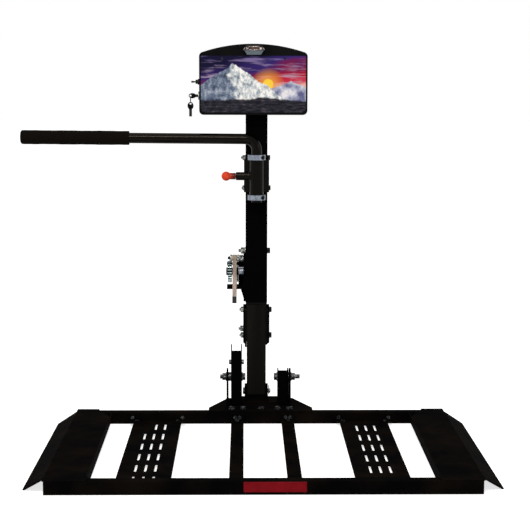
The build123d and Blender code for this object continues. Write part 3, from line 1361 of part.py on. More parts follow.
with BuildPart() as arm_grip:
    with BuildSketch(arm_run.offset(-GRIP_END)):
        Circle(GRIP_RADIUS)
    extrude(amount=GRIP_LENGTH)
    fillet(arm_grip.edges().sort_by(Axis.X)[0], radius=6)
    fillet(arm_grip.edges().sort_by(Axis.X)[-1], radius=2)
    with BuildSketch(arm_run):
        Circle(ARM_RADIUS)
    extrude(amount=GRIP_LENGTH, mode=Mode.SUBTRACT)
arm_grip.part.label = "arm_grip"
export_step(arm_grip.part, "parts/arm_grip.step")

COLLAR_SCREW_X = MAST_X + 18.3
COLLAR_SCREW_FRONT_Y = ARM_Y - 12.0
COLLAR_SCREW_FLOOR_Y = ARM_Y - 8.0
COLLAR_SCREW_RADIUS = 3.9
COLLAR_SLIT = 2.0

with BuildPart() as arm_collars:
    for z in (SLEEVE_TOP + GAP, SLEEVE_BOTTOM - GAP - COLLAR_HEIGHT):
        rod_z(z, z + COLLAR_HEIGHT, MAST_X, ARM_Y, COLLAR_RADIUS)
        rod_z(z, z + COLLAR_HEIGHT, MAST_X, ARM_Y, ARM_RADIUS, Mode.SUBTRACT)
        block(
            (MAST_X + ARM_RADIUS - 2, ARM_Y - COLLAR_SLIT / 2, z),
            (MAST_X + COLLAR_RADIUS + 1, ARM_Y + COLLAR_SLIT / 2, z + COLLAR_HEIGHT),
            mode=Mode.SUBTRACT,
        )
        middle_z = z + COLLAR_HEIGHT / 2
        counterbore = COLLAR_SCREW_RADIUS + 0.1
        front_y = ARM_Y - COLLAR_RADIUS
        rod_y(front_y, COLLAR_SCREW_FLOOR_Y, COLLAR_SCREW_X, middle_z, counterbore, Mode.SUBTRACT)
arm_collars.part.label = "arm_collars"
export_step(arm_collars.part, "parts/arm_collars.step")

with BuildPart() as collar_screws:
    for z in (SLEEVE_TOP + GAP, SLEEVE_BOTTOM - GAP - COLLAR_HEIGHT):
        middle_z = z + COLLAR_HEIGHT / 2
        rod_y(COLLAR_SCREW_FRONT_Y, COLLAR_SCREW_FLOOR_Y, COLLAR_SCREW_X, middle_z, COLLAR_SCREW_RADIUS)
        with BuildSketch(front_plane(COLLAR_SCREW_FRONT_Y)):
            with Locations((COLLAR_SCREW_X, middle_z)):
                RegularPolygon(2.2, 6)
        extrude(amount=-2.5, mode=Mode.SUBTRACT)
collar_screws.part.label = "collar_screws"
export_step(collar_screws.part, "parts/collar_screws.step")

# Strap ratchet: frame, axle, toothed wheel, spool, pawl and guide roller

SHELF_BOTTOM = 380.0
SHELF_TOP = 388.0
SHELF_LEFT = -98.5
SHELF_FRONT_Y = 86.5
FRAME_BOTTOM = 342.0
FRAME_TOP = 481.0
FRAME_FRONT_Y = 82.0
FRAME_REAR_Y = 136.0
PAWL_EAR_Y = 154.0
TAPER = 12.0
STUD_RADIUS = 4.0
STUD_HEAD_RADIUS = 6.0
STUD_HEAD = 2.4
ROLLER_STUD_END = -96.0
ROLLER_LEFT = -88.4
ROLLER_RIGHT = -64.0
ROLLER_SEAT_HEX = 7.5
ROLLER_FLANGE = 10.5
ROLLER_FLANGE_THICK = 4.0
PAWL_BOSS = 11.0
PAWL_BOSS_REACH = 15.0
PAWL_STUD_END = -99.0
BRACE_REACH = 9.0
BRACE_DROP = 30.0
BRACE_REAR_Y = 112.0
BRACE_THICK = 6.0
STAY_WIDTH = 15.0
STAY_TOP = 428.0

with BuildPart() as ratchet_frame:
    with BuildSketch(side_plane(FRAME_LEFT)) as frame_outline:
        with BuildLine():
            Polyline(
                (FRAME_FRONT_Y + TAPER, FRAME_BOTTOM),
                (FRAME_REAR_Y - 10, FRAME_BOTTOM),
                (FRAME_REAR_Y, SHELF_BOTTOM),
                (FRAME_REAR_Y, PAWL_Z - 28),
                (PAWL_EAR_Y, PAWL_Z - TAPER),
                (PAWL_EAR_Y, PAWL_Z + TAPER),
                (PAWL_EAR_Y - 14, PAWL_Z + 26),
                (FRAME_REAR_Y - 10, FRAME_TOP),
                (FRAME_FRONT_Y + TAPER, FRAME_TOP),
                (FRAME_FRONT_Y, ROLLER_Z - 6),
                (FRAME_FRONT_Y, SHELF_BOTTOM),
                close=True,
            )
        make_face()
        fillet(frame_outline.vertices(), radius=4)
    extrude(amount=MAST_LEFT - FRAME_LEFT)
    block((SHELF_LEFT, SHELF_FRONT_Y, SHELF_BOTTOM), (FRAME_LEFT, FRAME_REAR_Y, SHELF_TOP))
    block((FRAME_LEFT - STAY_WIDTH, FRAME_REAR_Y - 6, SHELF_TOP), (FRAME_LEFT, FRAME_REAR_Y, STAY_TOP))
    with BuildSketch(front_plane(BRACE_REAR_Y)):
        with BuildLine():
            Polyline(
                (FRAME_LEFT, SHELF_BOTTOM),
                (FRAME_LEFT - BRACE_REACH, SHELF_BOTTOM),
                (FRAME_LEFT, SHELF_BOTTOM - BRACE_DROP),
                close=True,
            )
        make_face()
    extrude(amount=BRACE_THICK)
    # Studs for the guide roller and the pawl
    head_right = ROLLER_LEFT - GAP
    rod_x(ROLLER_STUD_END, FRAME_LEFT, ROLLER_Y, ROLLER_Z, STUD_RADIUS)
    rod_x(head_right - STUD_HEAD, head_right, ROLLER_Y, ROLLER_Z, STUD_HEAD_RADIUS)
    hex_x(ROLLER_RIGHT + GAP, FRAME_LEFT, ROLLER_Y, ROLLER_Z, ROLLER_SEAT_HEX)
    rod_x(PAWL_STUD_END, FRAME_LEFT, PAWL_Y, PAWL_Z, STUD_RADIUS)
    rod_x(PAWL_STUD_END, PAWL_STUD_END + STUD_HEAD, PAWL_Y, PAWL_Z, STUD_HEAD_RADIUS)
    rod_x(FRAME_LEFT - PAWL_BOSS_REACH, FRAME_LEFT, PAWL_Y, PAWL_Z, PAWL_BOSS)
ratchet_frame.part.label = "ratchet_frame"
export_step(ratchet_frame.part, "parts/ratchet_frame.step")

AXLE_SPACER = 15.0
AXLE_SPACER_RADIUS = 11.5
AXLE_HEX = 10.0

with BuildPart() as ratchet_axle:
    rod_x(SHELF_LEFT - 2, FRAME_LEFT, RATCHET_Y, RATCHET_Z, AXLE_RADIUS)
    rod_x(FRAME_LEFT - AXLE_SPACER, FRAME_LEFT, RATCHET_Y, RATCHET_Z, AXLE_SPACER_RADIUS)
    hex_x(SHELF_LEFT - 2, SHELF_LEFT + 2.2, RATCHET_Y, RATCHET_Z, AXLE_HEX)
ratchet_axle.part.label = "ratchet_axle"
export_step(ratchet_axle.part, "parts/ratchet_axle.step")

TOOTH_PHASE = -24.4
TOOTH_STEP = 360.0 / RATCHET_TEETH


def polar(radius, angle):
    """A point round the ratchet axle, in the Y-Z plane."""
    return (
        RATCHET_Y + radius * cos(radians(angle)),
        RATCHET_Z + radius * sin(radians(angle)),
    )


# Each tooth gap: a narrow floor, a steep side that the pawl blocks and a sloping side
wheel_points = []
for tooth in range(RATCHET_TEETH):
    gap_angle = TOOTH_PHASE + tooth * TOOTH_STEP
    wheel_points.append(polar(RATCHET_RADIUS, gap_angle - 0.25 * TOOTH_STEP))
    wheel_points.append(polar(RATCHET_RADIUS - TOOTH_DEPTH, gap_angle - 0.19 * TOOTH_STEP))
    wheel_points.append(polar(RATCHET_RADIUS - TOOTH_DEPTH, gap_angle + 0.15 * TOOTH_STEP))
    wheel_points.append(polar(RATCHET_RADIUS, gap_angle + 0.52 * TOOTH_STEP))

with BuildPart() as ratchet_wheel:
    with BuildSketch(side_plane(WHEEL_LEFT)):
        with BuildLine():
            Polyline(*wheel_points, close=True)
        make_face()
        with Locations((RATCHET_Y, RATCHET_Z)):
            Circle(AXLE_RADIUS + GAP, mode=Mode.SUBTRACT)
    extrude(amount=WHEEL_RIGHT - WHEEL_LEFT)
ratchet_wheel.part.label = "ratchet_wheel"
export_step(ratchet_wheel.part, "parts/ratchet_wheel.step")

HUB_RADIUS = 11.0
HUB_END_X = -65.4

with BuildPart() as strap_spool:
    rod_x(WHEEL_RIGHT, HUB_END_X, RATCHET_Y, RATCHET_Z, HUB_RADIUS)
    rod_x(HUB_END_X - 2.5, HUB_END_X, RATCHET_Y, RATCHET_Z, ROLL_RADIUS + 2)
    rod_x(WHEEL_RIGHT, HUB_END_X, RATCHET_Y, RATCHET_Z, AXLE_RADIUS + GAP, Mode.SUBTRACT)
strap_spool.part.label = "strap_spool"
export_step(strap_spool.part, "parts/strap_spool.step")

with BuildPart() as webbing_roll:
    rod_x(STRAP_LEFT, STRAP_RIGHT, RATCHET_Y, RATCHET_Z, ROLL_RADIUS)
    rod_x(STRAP_LEFT, STRAP_RIGHT, RATCHET_Y, RATCHET_Z, HUB_RADIUS, Mode.SUBTRACT)
webbing_roll.part.label = "webbing_roll"
export_step(webbing_roll.part, "parts/webbing_roll.step")

PAWL_HUB = 7.0
PAWL_SWING = 10.0
PAWL_INNER = RATCHET_RADIUS + 1.0
PAWL_OUTER = RATCHET_RADIUS + 6.5
BEAK_TIP = RATCHET_RADIUS - TOOTH_DEPTH + 0.8
PAWL_WIDTH = WHEEL_RIGHT - WHEEL_LEFT - 0.8

# The pawl is drawn as it sits in a tooth gap, then turned off the wheel about its stud
pawl_plane = Plane(
    origin=(WHEEL_LEFT + 0.4, PAWL_Y, PAWL_Z),
    x_dir=(0, cos(radians(PAWL_SWING)), sin(radians(PAWL_SWING))),
    z_dir=(1, 0, 0),
)


def from_stud(radius, angle):
    """A point round the ratchet axle, measured from the pawl's stud."""
    y, z = polar(radius, angle)
    return (y - PAWL_Y, z - PAWL_Z)


with BuildPart() as ratchet_pawl:
    with BuildSketch(pawl_plane):
        with BuildLine():
            ThreePointArc(
                from_stud(PAWL_INNER, 16),
                from_stud(PAWL_INNER, -3),
                from_stud(PAWL_INNER, TOOTH_PHASE + 4.5),
            )
            Polyline(
                from_stud(PAWL_INNER, TOOTH_PHASE + 4.5),
                from_stud(BEAK_TIP, TOOTH_PHASE + 1.2),
                from_stud(BEAK_TIP, TOOTH_PHASE - 1.6),
                from_stud(PAWL_OUTER, TOOTH_PHASE - 2.8),
            )
            ThreePointArc(
                from_stud(PAWL_OUTER, TOOTH_PHASE - 2.8),
                from_stud(PAWL_OUTER, -5),
                from_stud(PAWL_OUTER + 5, 16),
            )
            Line(from_stud(PAWL_OUTER + 5, 16), from_stud(PAWL_INNER, 16))
        make_face()
        Circle(PAWL_HUB)
        Circle(STUD_RADIUS + GAP, mode=Mode.SUBTRACT)
    extrude(amount=PAWL_WIDTH)
ratchet_pawl.part.label = "ratchet_pawl"
export_step(ratchet_pawl.part, "parts/ratchet_pawl.step")

with BuildPart() as strap_roller:
    rod_x(ROLLER_LEFT, ROLLER_RIGHT, ROLLER_Y, ROLLER_Z, ROLLER_RADIUS)
    rod_x(ROLLER_LEFT, ROLLER_LEFT + ROLLER_FLANGE_THICK, ROLLER_Y, ROLLER_Z, ROLLER_FLANGE)
    rod_x(ROLLER_RIGHT - ROLLER_FLANGE_THICK, ROLLER_RIGHT, ROLLER_Y, ROLLER_Z, ROLLER_FLANGE)
    rod_x(ROLLER_LEFT, ROLLER_RIGHT, ROLLER_Y, ROLLER_Z, STUD_RADIUS + GAP, Mode.SUBTRACT)
strap_roller.part.label = "strap_roller"
export_step(strap_roller.part, "parts/strap_roller.step")

# Webbing: off the back of the roll, over the roller and down in front

roll_edge = ROLL_RADIUS + GAP
roller_edge = ROLLER_RADIUS + GAP
dy = ROLLER_Y - RATCHET_Y
dz = ROLLER_Z - RATCHET_Z
span = hypot(dy, dz)
lean = degrees(asin((roll_edge - roller_edge) / span))
span_angle = 90 + degrees(asin(-dy / span))
tangent_angle = span_angle - 90 + lean


def strap_point(centre, radius, angle):
    """A point on a circle round a roller, in the Y-Z plane."""
    return (
        centre[0] + radius * cos(radians(angle)),
        centre[1] + radius * sin(radians(angle)),
    )


roll_centre = (RATCHET_Y, RATCHET_Z)
roller_centre = (ROLLER_Y, ROLLER_Z)
top_angle = (tangent_angle + 180) / 2

with BuildPart() as strap_webbing:
    with BuildSketch(side_plane(STRAP_LEFT)):
        with BuildLine():
            inner = roller_edge
            outer = roller_edge + STRAP_THICK
            Line(
                strap_point(roll_centre, roll_edge, tangent_angle),
                strap_point(roller_centre, inner, tangent_angle),
            )
            ThreePointArc(
                strap_point(roller_centre, inner, tangent_angle),
                strap_point(roller_centre, inner, top_angle),
                strap_point(roller_centre, inner, 180),
            )
            Polyline(
                strap_point(roller_centre, inner, 180),
                (ROLLER_Y - inner, STRAP_END_Z),
                (ROLLER_Y - outer, STRAP_END_Z),
                strap_point(roller_centre, outer, 180),
            )
            ThreePointArc(
                strap_point(roller_centre, outer, 180),
                strap_point(roller_centre, outer, top_angle),
                strap_point(roller_centre, outer, tangent_angle),
            )
            Polyline(
                strap_point(roller_centre, outer, tangent_angle),
                strap_point(roll_centre, roll_edge + STRAP_THICK, tangent_angle),
                strap_point(roll_centre, roll_edge, tangent_angle),
            )
        make_face()
    extrude(amount=STRAP_RIGHT - STRAP_LEFT)
strap_webbing.part.label = "strap_webbing"
export_step(strap_webbing.part, "parts/strap_webbing.step")
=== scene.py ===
import json
from functools import partial
from math import radians
from typing import NamedTuple

import bmesh
import bpy
import numpy as np
from mathutils import Euler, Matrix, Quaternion, Vector


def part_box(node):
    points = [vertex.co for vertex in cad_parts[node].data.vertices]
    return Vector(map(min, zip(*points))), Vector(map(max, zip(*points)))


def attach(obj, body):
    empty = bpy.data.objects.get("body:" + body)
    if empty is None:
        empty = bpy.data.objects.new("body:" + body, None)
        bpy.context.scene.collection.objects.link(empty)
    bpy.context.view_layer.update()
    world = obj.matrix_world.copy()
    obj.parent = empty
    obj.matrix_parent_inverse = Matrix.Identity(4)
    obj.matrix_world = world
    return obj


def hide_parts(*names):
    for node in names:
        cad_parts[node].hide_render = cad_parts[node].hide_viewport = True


bl_info = {
    "name": "Wheelchair Lift Dressing",
    "version": (1, 0, 0),
    "blender": (4, 5, 0),
    "location": "3D View > Sidebar > Lift",
    "description": "Finishes, strap, grip, bolts, weld beads and stage of a power wheelchair lift",
    "category": "Object",
}

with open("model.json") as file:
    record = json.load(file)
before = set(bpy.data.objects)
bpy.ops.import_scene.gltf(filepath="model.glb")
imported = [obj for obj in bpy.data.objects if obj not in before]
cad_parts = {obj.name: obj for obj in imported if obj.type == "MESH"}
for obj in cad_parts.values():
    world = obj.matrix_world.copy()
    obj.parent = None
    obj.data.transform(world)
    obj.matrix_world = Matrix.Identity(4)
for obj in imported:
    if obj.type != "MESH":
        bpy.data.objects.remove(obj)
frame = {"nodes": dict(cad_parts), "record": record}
MM = 0.001
TAU = 2 * np.pi
LEFT, RIGHT, FRONT, BACK, UP = (-1, 0, 0), (1, 0, 0), (0, -1, 0), (0, 1, 0), (0, 0, 1)

# Places of the joints that have one, in metres, and the lines that the pieces are set out from
JOINTS = {row["name"]: row["pos_m"] for row in frame["record"]["behaviour"]["joints"] if "pos_m" in row}
MAST_X, ARM_Y, BARREL_Z = JOINTS["arm_swing"]
WHEEL_Y, WHEEL_Z = JOINTS["ratchet_spin"][1:]
ROLLER_Y, ROLLER_Z = JOINTS["roller_spin"][1:]
PIVOT_Y, PIVOT_Z = JOINTS["platform_fold"][1:]
KEY_Y, KEY_Z = JOINTS["key_turn"][1:]


class LiftSizes(bpy.types.PropertyGroup):
    """Sizes of the pieces that are made here, in metres."""

    grip_radius: bpy.props.FloatProperty(
        name="Grip radius", description="Outside radius of the foam grip", default=0.0201, unit="LENGTH")
    grip_length: bpy.props.FloatProperty(
        name="Grip length", description="Length of the foam grip", default=0.3105, unit="LENGTH")
    foam_pore: bpy.props.FloatProperty(
        name="Foam pore", description="Spacing of the pores in the foam", default=0.0016, unit="LENGTH")
    strap_thickness: bpy.props.FloatProperty(
        name="Strap thickness", description="Thickness of the webbing", default=0.0015, unit="LENGTH")
    weave_pitch: bpy.props.FloatProperty(
        name="Weave pitch", description="Spacing of the webbing's threads", default=0.0013, unit="LENGTH")
    strap_tip: bpy.props.FloatProperty(
        name="Strap tip", description="Length of the black sealed end", default=0.019, unit="LENGTH")
    bead_radius: bpy.props.FloatProperty(
        name="Weld bead", description="Half the width of a weld bead", default=0.0023, unit="LENGTH")
    edge_round: bpy.props.FloatProperty(
        name="Edge rounding", description="Rounding of painted steel edges", default=0.0009, unit="LENGTH")
    coat_texture: bpy.props.FloatProperty(
        name="Coat texture", description="Spacing of the coat's orange peel", default=0.0022, unit="LENGTH")


class LiftColours(bpy.types.PropertyGroup):
    """Colours as sRGB hex values."""

    coat: bpy.props.StringProperty(
        name="Coat", description="Satin black powder coat", default="#050506")
    tube: bpy.props.StringProperty(
        name="Inner tube", description="Worn charcoal of the inner tube", default="#100F0D")
    arm: bpy.props.StringProperty(
        name="Arm tube", description="Gloss black of the arm", default="#020202")
    foam: bpy.props.StringProperty(
        name="Foam", description="Brown-black foam grip", default="#0C0A08")
    knob: bpy.props.StringProperty(
        name="Knob", description="Red-orange plunger knob", default="#E04A28")
    reflector: bpy.props.StringProperty(
        name="Reflector", description="Deep red strip", default="#7A0D18")
    zinc: bpy.props.StringProperty(
        name="Zinc", description="Bright zinc plate", default="#8A9094")
    # painted light: the strap's top colour is darkened as shade and its end colour paler as lit
    strap_top_shaded: bpy.props.StringProperty(
        name="Strap top", description="Tan webbing near the roller", default="#AC9C88")
    strap_end_lit: bpy.props.StringProperty(
        name="Strap end", description="Paler webbing near its end", default="#DCC8BE")
    plastic: bpy.props.StringProperty(
        name="Plastic", description="Moulded black covers", default="#0D0D0E")


class LiftStage(bpy.types.PropertyGroup):
    """Camera, lamps and floor."""

    lens: bpy.props.FloatProperty(
        name="Lens", description="Focal length in millimetres", default=92.5, unit="CAMERA")
    front_power: bpy.props.FloatProperty(
        name="Front lamp", description="Power of the front strip in watts", default=76.0, unit="POWER")
    left_power: bpy.props.FloatProperty(
        name="Left lamp", description="Power of the left strip in watts", default=13.0, unit="POWER")
    right_power: bpy.props.FloatProperty(
        name="Right lamp", description="Power of the right strip in watts", default=16.0, unit="POWER")
    top_power: bpy.props.FloatProperty(
        name="Top lamp", description="Power of the overhead lamp in watts", default=7.0, unit="POWER")
    sky: bpy.props.FloatProperty(
        name="Sky light", description="Strength of the even light", default=0.45)
    floor_size: bpy.props.FloatProperty(
        name="Floor", description="Width of the floor", default=60.0, unit="LENGTH")


def linear(hex_colour):
    """Linear RGBA of an sRGB hex value."""
    srgb = np.array([int(hex_colour[i:i + 2], 16) for i in (1, 3, 5)]) / 255
    rgb = np.where(srgb <= 0.04045, srgb / 12.92, ((srgb + 0.055) / 1.055) ** 2.4)
    return (*[float(c) for c in rgb], 1.0)


def add_node(tree, kind, *inputs, output=0, steps=(), **settings):
    """Adds one shader node and gives back its first output in use, a named one, or all of them for None.

    kind is the node's type, with its operation or data type after a space, as in "Math ADD". Inputs
    go to the sockets in use, in order. A keyword with a capital letter is a socket's name, and any
    other is a setting. steps are a colour ramp's (place, hex colour) marks."""
    kind, *mode = kind.split()
    node = tree.nodes.new("ShaderNode" + kind)
    if mode:
        setattr(node, "data_type" if kind == "Mix" else "operation", mode[0])
    if steps:
        marks = node.color_ramp.elements
        while len(marks) < len(steps):
            marks.new(0.5)
        for mark, (place, colour) in zip(marks, steps):
            mark.position, mark.color = place, linear(colour)
    values = list(zip([socket for socket in node.inputs if socket.enabled], inputs))
    for key, value in settings.items():
        if key[0].isupper():
            values.append((node.inputs[key.replace("_", " ")], value))
        else:
            setattr(node, key, value)
    for socket, value in values:
        if isinstance(value, bpy.types.NodeSocket):
            tree.links.new(value, socket)
        else:
            socket.default_value = linear(value) if isinstance(value, str) else value
    if output is None:
        return node.outputs
    return node.outputs[output] if output else next((s for s in node.outputs if s.enabled), None)


def empty_tree(owner):
    """Clears a material's or the world's node tree and gives back add_node for it."""
    owner.use_nodes = True
    owner.node_tree.nodes.clear()
    return partial(add_node, owner.node_tree)


def blend(add, number, low, high, a, b, share=(0.0, 1.0)):
    """Colour a turning to b as a number goes from low to high; share is how much of b is there then."""
    return add("Mix RGBA", add("MapRange", number, low, high, *share), a, b)


def grain(add, place, spacing, detail=2.0, stretch=(1, 1, 1), roughness=0.5):
    """Noise whose lumps are about one spacing apart, in metres."""
    scaled = add("Mapping", place, Scale=tuple(s / spacing for s in stretch))
    return add("TexNoise", scaled, 1.0, detail, roughness)


def rounded_bump(add, height, distance, strength=1.0, edge=0.0):
    """A bump whose base normal rounds the edges over a real radius."""
    base = {"Normal": add("Bevel", edge, samples=6)} if edge else {}
    return add("Bump", Height=height, Distance=distance, Strength=strength, **base)


def edge_mask(add, edge):
    """1 near sharp edges and 0 on flats: how far the rounded normal turns from the true one."""
    match = add("VectorMath DOT_PRODUCT", add("Bevel", edge, samples=6),
                add("NewGeometry", output="True Normal"))
    return add("MapRange", match, 0.985, 0.80, 0.0, 1.0)


def distance_of(add, a, b):
    """The root of a squared plus b squared."""
    squares = add("Math ADD", add("Math POWER", a, 2.0), add("Math POWER", b, 2.0))
    return add("Math POWER", squares, 0.5)


# Each recipe below draws one material in its node tree and gives back the shader's inputs


def satin_powder_coat(add, place, sizes, colours):
    """Polyester powder coat baked on steel: satin black, a fine orange peel, edges a little paler, partly
    rubbed and partly painted highlight.
    """
    peel = grain(add, place, sizes.coat_texture, 1.0)
    dust = grain(add, place, 0.09, 4.0)
    handled = grain(add, place, 0.011, 5.0, roughness=0.7)
    # a faint warm film on the tray, which lies under 60 mm: partly dust and partly a painted warm reflection
    height = add("SeparateXYZ", place, output="Z")
    dust_and_reflection = add("Math MULTIPLY", add("MapRange", dust, 0.38, 0.75, 0.05, 0.9),
                add("MapRange", height, 0.04, 0.06, 1.0, 0.0))
    # edges paler: partly rubbing wear and partly a painted highlight along them
    rubbed_and_highlit = add("Math MULTIPLY", edge_mask(add, sizes.edge_round * 1.4),
                  add("MapRange", handled, 0.4, 0.7, 0.1, 0.8))
    body = add("Mix RGBA", dust_and_reflection, colours.coat, "#14100C")
    return dict(Base_Color=add("Mix RGBA", rubbed_and_highlit, body, "#2A2725"),
                Roughness=add("MapRange", handled, 0.3, 0.7, 0.5, 0.62), Specular_IOR_Level=0.0004,
                Normal=rounded_bump(add, peel, 0.00006, 0.5, sizes.edge_round))


def worn_tube_paint(add, place, sizes, colours):
    """Satin paint on the inner tube, wiped paler along its length by the sliding pads."""
    wiped = grain(add, place, 0.006, 4.0, (1, 1, 0.03), 0.65)
    broad = grain(add, place, 0.03, 2.0, (1, 1, 0.05))
    peel = grain(add, place, sizes.coat_texture, 1.0)
    tone = add("Math MULTIPLY", wiped, broad)
    return dict(Base_Color=blend(add, tone, 0.12, 0.4, colours.tube, "#1A1816"),
                Roughness=add("MapRange", wiped, 0.3, 0.7, 0.5, 0.62), Specular_IOR_Level=0.015,
                Normal=rounded_bump(add, add("Math ADD", peel, wiped), 0.00005, 0.5, sizes.edge_round))


def gloss_black_enamel(add, place, sizes, colours):
    """Gloss black enamel on round tube: a sharp, slightly broken highlight along the top."""
    ripple = grain(add, place, 0.009, 3.0, (0.35, 1, 1), 0.6)
    fine = grain(add, place, 0.0016, 2.0)
    return dict(Base_Color=blend(add, ripple, 0.35, 0.7, colours.arm, "#060504"),
                Roughness=add("MapRange", fine, 0.3, 0.7, 0.13, 0.2),
                Specular_IOR_Level=0.085, Specular_Tint="#EFE2D6",
                Normal=rounded_bump(add, ripple, 0.0003, 0.25))


def clouded_plate(add, place, spacing, steps, roughness):
    """Plated metal whose tone drifts in clouds, with fine marks along Y."""
    clouds = grain(add, place, spacing, 3.0, roughness=0.6)
    marks = grain(add, place, 0.0012, 3.0, (1, 0.25, 1), 0.6)
    return dict(Base_Color=add("ValToRGB", clouds, steps=steps), Metallic=1.0,
                Roughness=add("MapRange", marks, 0.25, 0.75, *roughness),
                Normal=rounded_bump(add, marks, 0.0001, 0.7, 0.0005))


def zinc_plated_steel(add, place, sizes, colours):
    """Zinc plate on nuts and threads: cool grey metal in dark and bright clouds, which are painted
    reflections.
    """
    steps = [(0.34, "#25282A"), (0.46, "#5C6260"), (0.54, colours.zinc), (0.60, "#B4B3A4"), (0.70, "#4E555A")]
    return clouded_plate(add, place, 0.0055, steps, (0.26, 0.46))


def dulled_zinc(add, place, sizes, colours):
    """Dull, dirty zinc of the tray's bolts: dark grey metal with small pale rubbed spots."""
    steps = [(0.36, "#151617"), (0.50, "#2F3234"), (0.60, "#5B5F60"), (0.68, "#8D8E88"), (0.76, "#3A3D3F")]
    return clouded_plate(add, place, 0.0060, steps, (0.34, 0.52))


def turned_collar_zinc(add, place, sizes, colours):
    """Clear zinc plate on turned collars: pale lavender-grey metal with fine rings and faint streaks."""
    rings = grain(add, place, 0.0016, 3.0, (0.2, 0.2, 1))
    clouds = grain(add, place, 0.010, 3.0, (1, 1, 0.4))
    colour = add("ValToRGB", clouds, steps=[
        (0.34, "#4C545C"), (0.48, "#75818A"), (0.60, "#727386"), (0.74, "#565E6A")])
    return dict(Base_Color=blend(add, rings, 0.3, 0.7, colour, "#98A2A8", (0.0, 0.35)), Metallic=1.0,
                Roughness=add("MapRange", rings, 0.3, 0.7, 0.28, 0.42),
                Normal=rounded_bump(add, rings, 0.00008, 0.6, 0.0006))


def tempered_wheel_steel(add, place, sizes, colours):
    """Zinc-plated hardened steel of the ratchet wheel: pale crests, and painted shade in a dark blue-green in
    the tooth roots.
    """
    marks = grain(add, place, 0.0014, 3.0)
    metal = add("ValToRGB", grain(add, place, 0.006, 3.0), steps=[
        (0.34, "#6E8F94"), (0.48, "#A3B8BC"), (0.60, "#D4DCDE"), (0.7, "#90A4A8")])
    _, y, z = add("SeparateXYZ", place, output=None)
    away = distance_of(add, add("Math SUBTRACT", y, WHEEL_Y), add("Math SUBTRACT", z, WHEEL_Z))
    # painted shade: a dark blue-green band in the tooth roots, 27 to 30 mm from the axle
    unshaded = add("Math MAXIMUM", add("MapRange", away, 0.0292, 0.0318, 0.0, 1.0),
                add("MapRange", away, 0.0262, 0.0274, 1.0, 0.0))
    return dict(Base_Color=add("Mix RGBA", unshaded, "#0F1F22", metal), Metallic=0.9,
                Roughness=add("MapRange", marks, 0.25, 0.75, 0.25, 0.42),
                Normal=rounded_bump(add, marks, 0.00012, 0.7, 0.0005))


def dark_zinc_steel(add, place, sizes, colours):
    """Dark zinc on bolt heads and small parts: dark metal with grey rubbed corners; on the mast's bolt heads
    its dark is painted shade.
    """
    marks = grain(add, place, 0.0015, 3.0)
    return dict(Base_Color=add("Mix RGBA", edge_mask(add, 0.0008), "#0E0E10", "#4A4A4C"), Metallic=0.8,
                Roughness=add("MapRange", marks, 0.3, 0.7, 0.35, 0.55),
                Normal=rounded_bump(add, marks, 0.00005, 0.5, 0.0005))


def eva_foam(add, place, sizes, colours):
    """Closed-cell EVA foam, extruded: matte brown-black with small open pores and a dull skin."""
    cells = add("TexVoronoi", Vector=place, Scale=1 / sizes.foam_pore, Randomness=1.0)
    skin = grain(add, place, 0.0045, 4.0)
    pits = add("MapRange", cells, 0.12, 0.45, 0.0, 1.0)
    body = blend(add, skin, 0.3, 0.7, colours.foam, "#130F0C")
    # painted shade: the pores are darkened
    return dict(Base_Color=add("Mix RGBA", pits, "#080605", body), Roughness=0.93, Specular_IOR_Level=0.03,
                Normal=rounded_bump(add, add("Math ADD", pits, skin), 0.0003, 0.7))


def moulded_knob(add, place, sizes, colours):
    """Injection-moulded phenolic knob: glossy red-orange with faint flow lines."""
    flow = grain(add, place, 0.012, 3.0, (0.4, 1, 1))
    fine = grain(add, place, 0.0009, 2.0)
    unshaded = blend(add, flow, 0.3, 0.75, colours.knob, "#C22F14")
    # painted shade: the neck is darkened towards the barrel
    low, high = (corner[0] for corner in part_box("plunger_knob"))
    start, end = (low + share * (high - low) for share in (0.45, 0.85))
    along = add("SeparateXYZ", place, output="X")
    return dict(Base_Color=blend(add, along, start, end, unshaded, "#4A140C", (0.0, 0.95)),
                Roughness=add("MapRange", fine, 0.3, 0.7, 0.2, 0.32), Specular_IOR_Level=0.12,
                Normal=rounded_bump(add, fine, 0.00003, 0.5))


def prismatic_reflector(add, place, sizes, colours):
    """Prismatic reflective sheet behind clear red film: deep red with a diamond net of cells."""
    x, _, z = add("SeparateXYZ", place, output=None)
    # cells drawn 4 mm apart; the real ones are about 2 mm, too fine for the render
    waves = [add("Math SINE", add("Math MULTIPLY", add(way, x, z), TAU / 0.004))
             for way in ("Math ADD", "Math SUBTRACT")]
    net = add("Math MULTIPLY", *waves)
    # a seam every half inch
    seam = add("MapRange", add("Math PINGPONG", x, 0.0127), 0.0, 0.0006, 1.0, 0.0)
    worn = grain(add, place, 0.02, 4.0)
    # painted light: the diamond cells alternate darker and lighter as the prism facets catch the light
    colour = blend(add, net, -0.9, 0.9, "#5E0911", colours.reflector)
    colour = blend(add, worn, 0.35, 0.75, colour, "#8C1420", (0.0, 0.5))
    colour = add("Mix RGBA", add("Math MULTIPLY", seam, 0.35), colour, "#3A060B")
    return dict(Base_Color=colour, Roughness=0.3, Specular_IOR_Level=0.03,
                Normal=rounded_bump(add, net, 0.00015, 0.4, 0.0005))


def moulded_abs(add, place, sizes, colours):
    """Black ABS moulded with a fine spark-eroded texture."""
    spark = grain(add, place, 0.0011, 2.0, roughness=0.6)
    tone = grain(add, place, 0.07, 2.0)
    return dict(Base_Color=blend(add, tone, 0.35, 0.7, colours.plastic, "#141414"),
                Roughness=add("MapRange", spark, 0.3, 0.7, 0.45, 0.6), Specular_IOR_Level=0.015,
                Normal=rounded_bump(add, spark, 0.00008, 0.6, 0.0008))


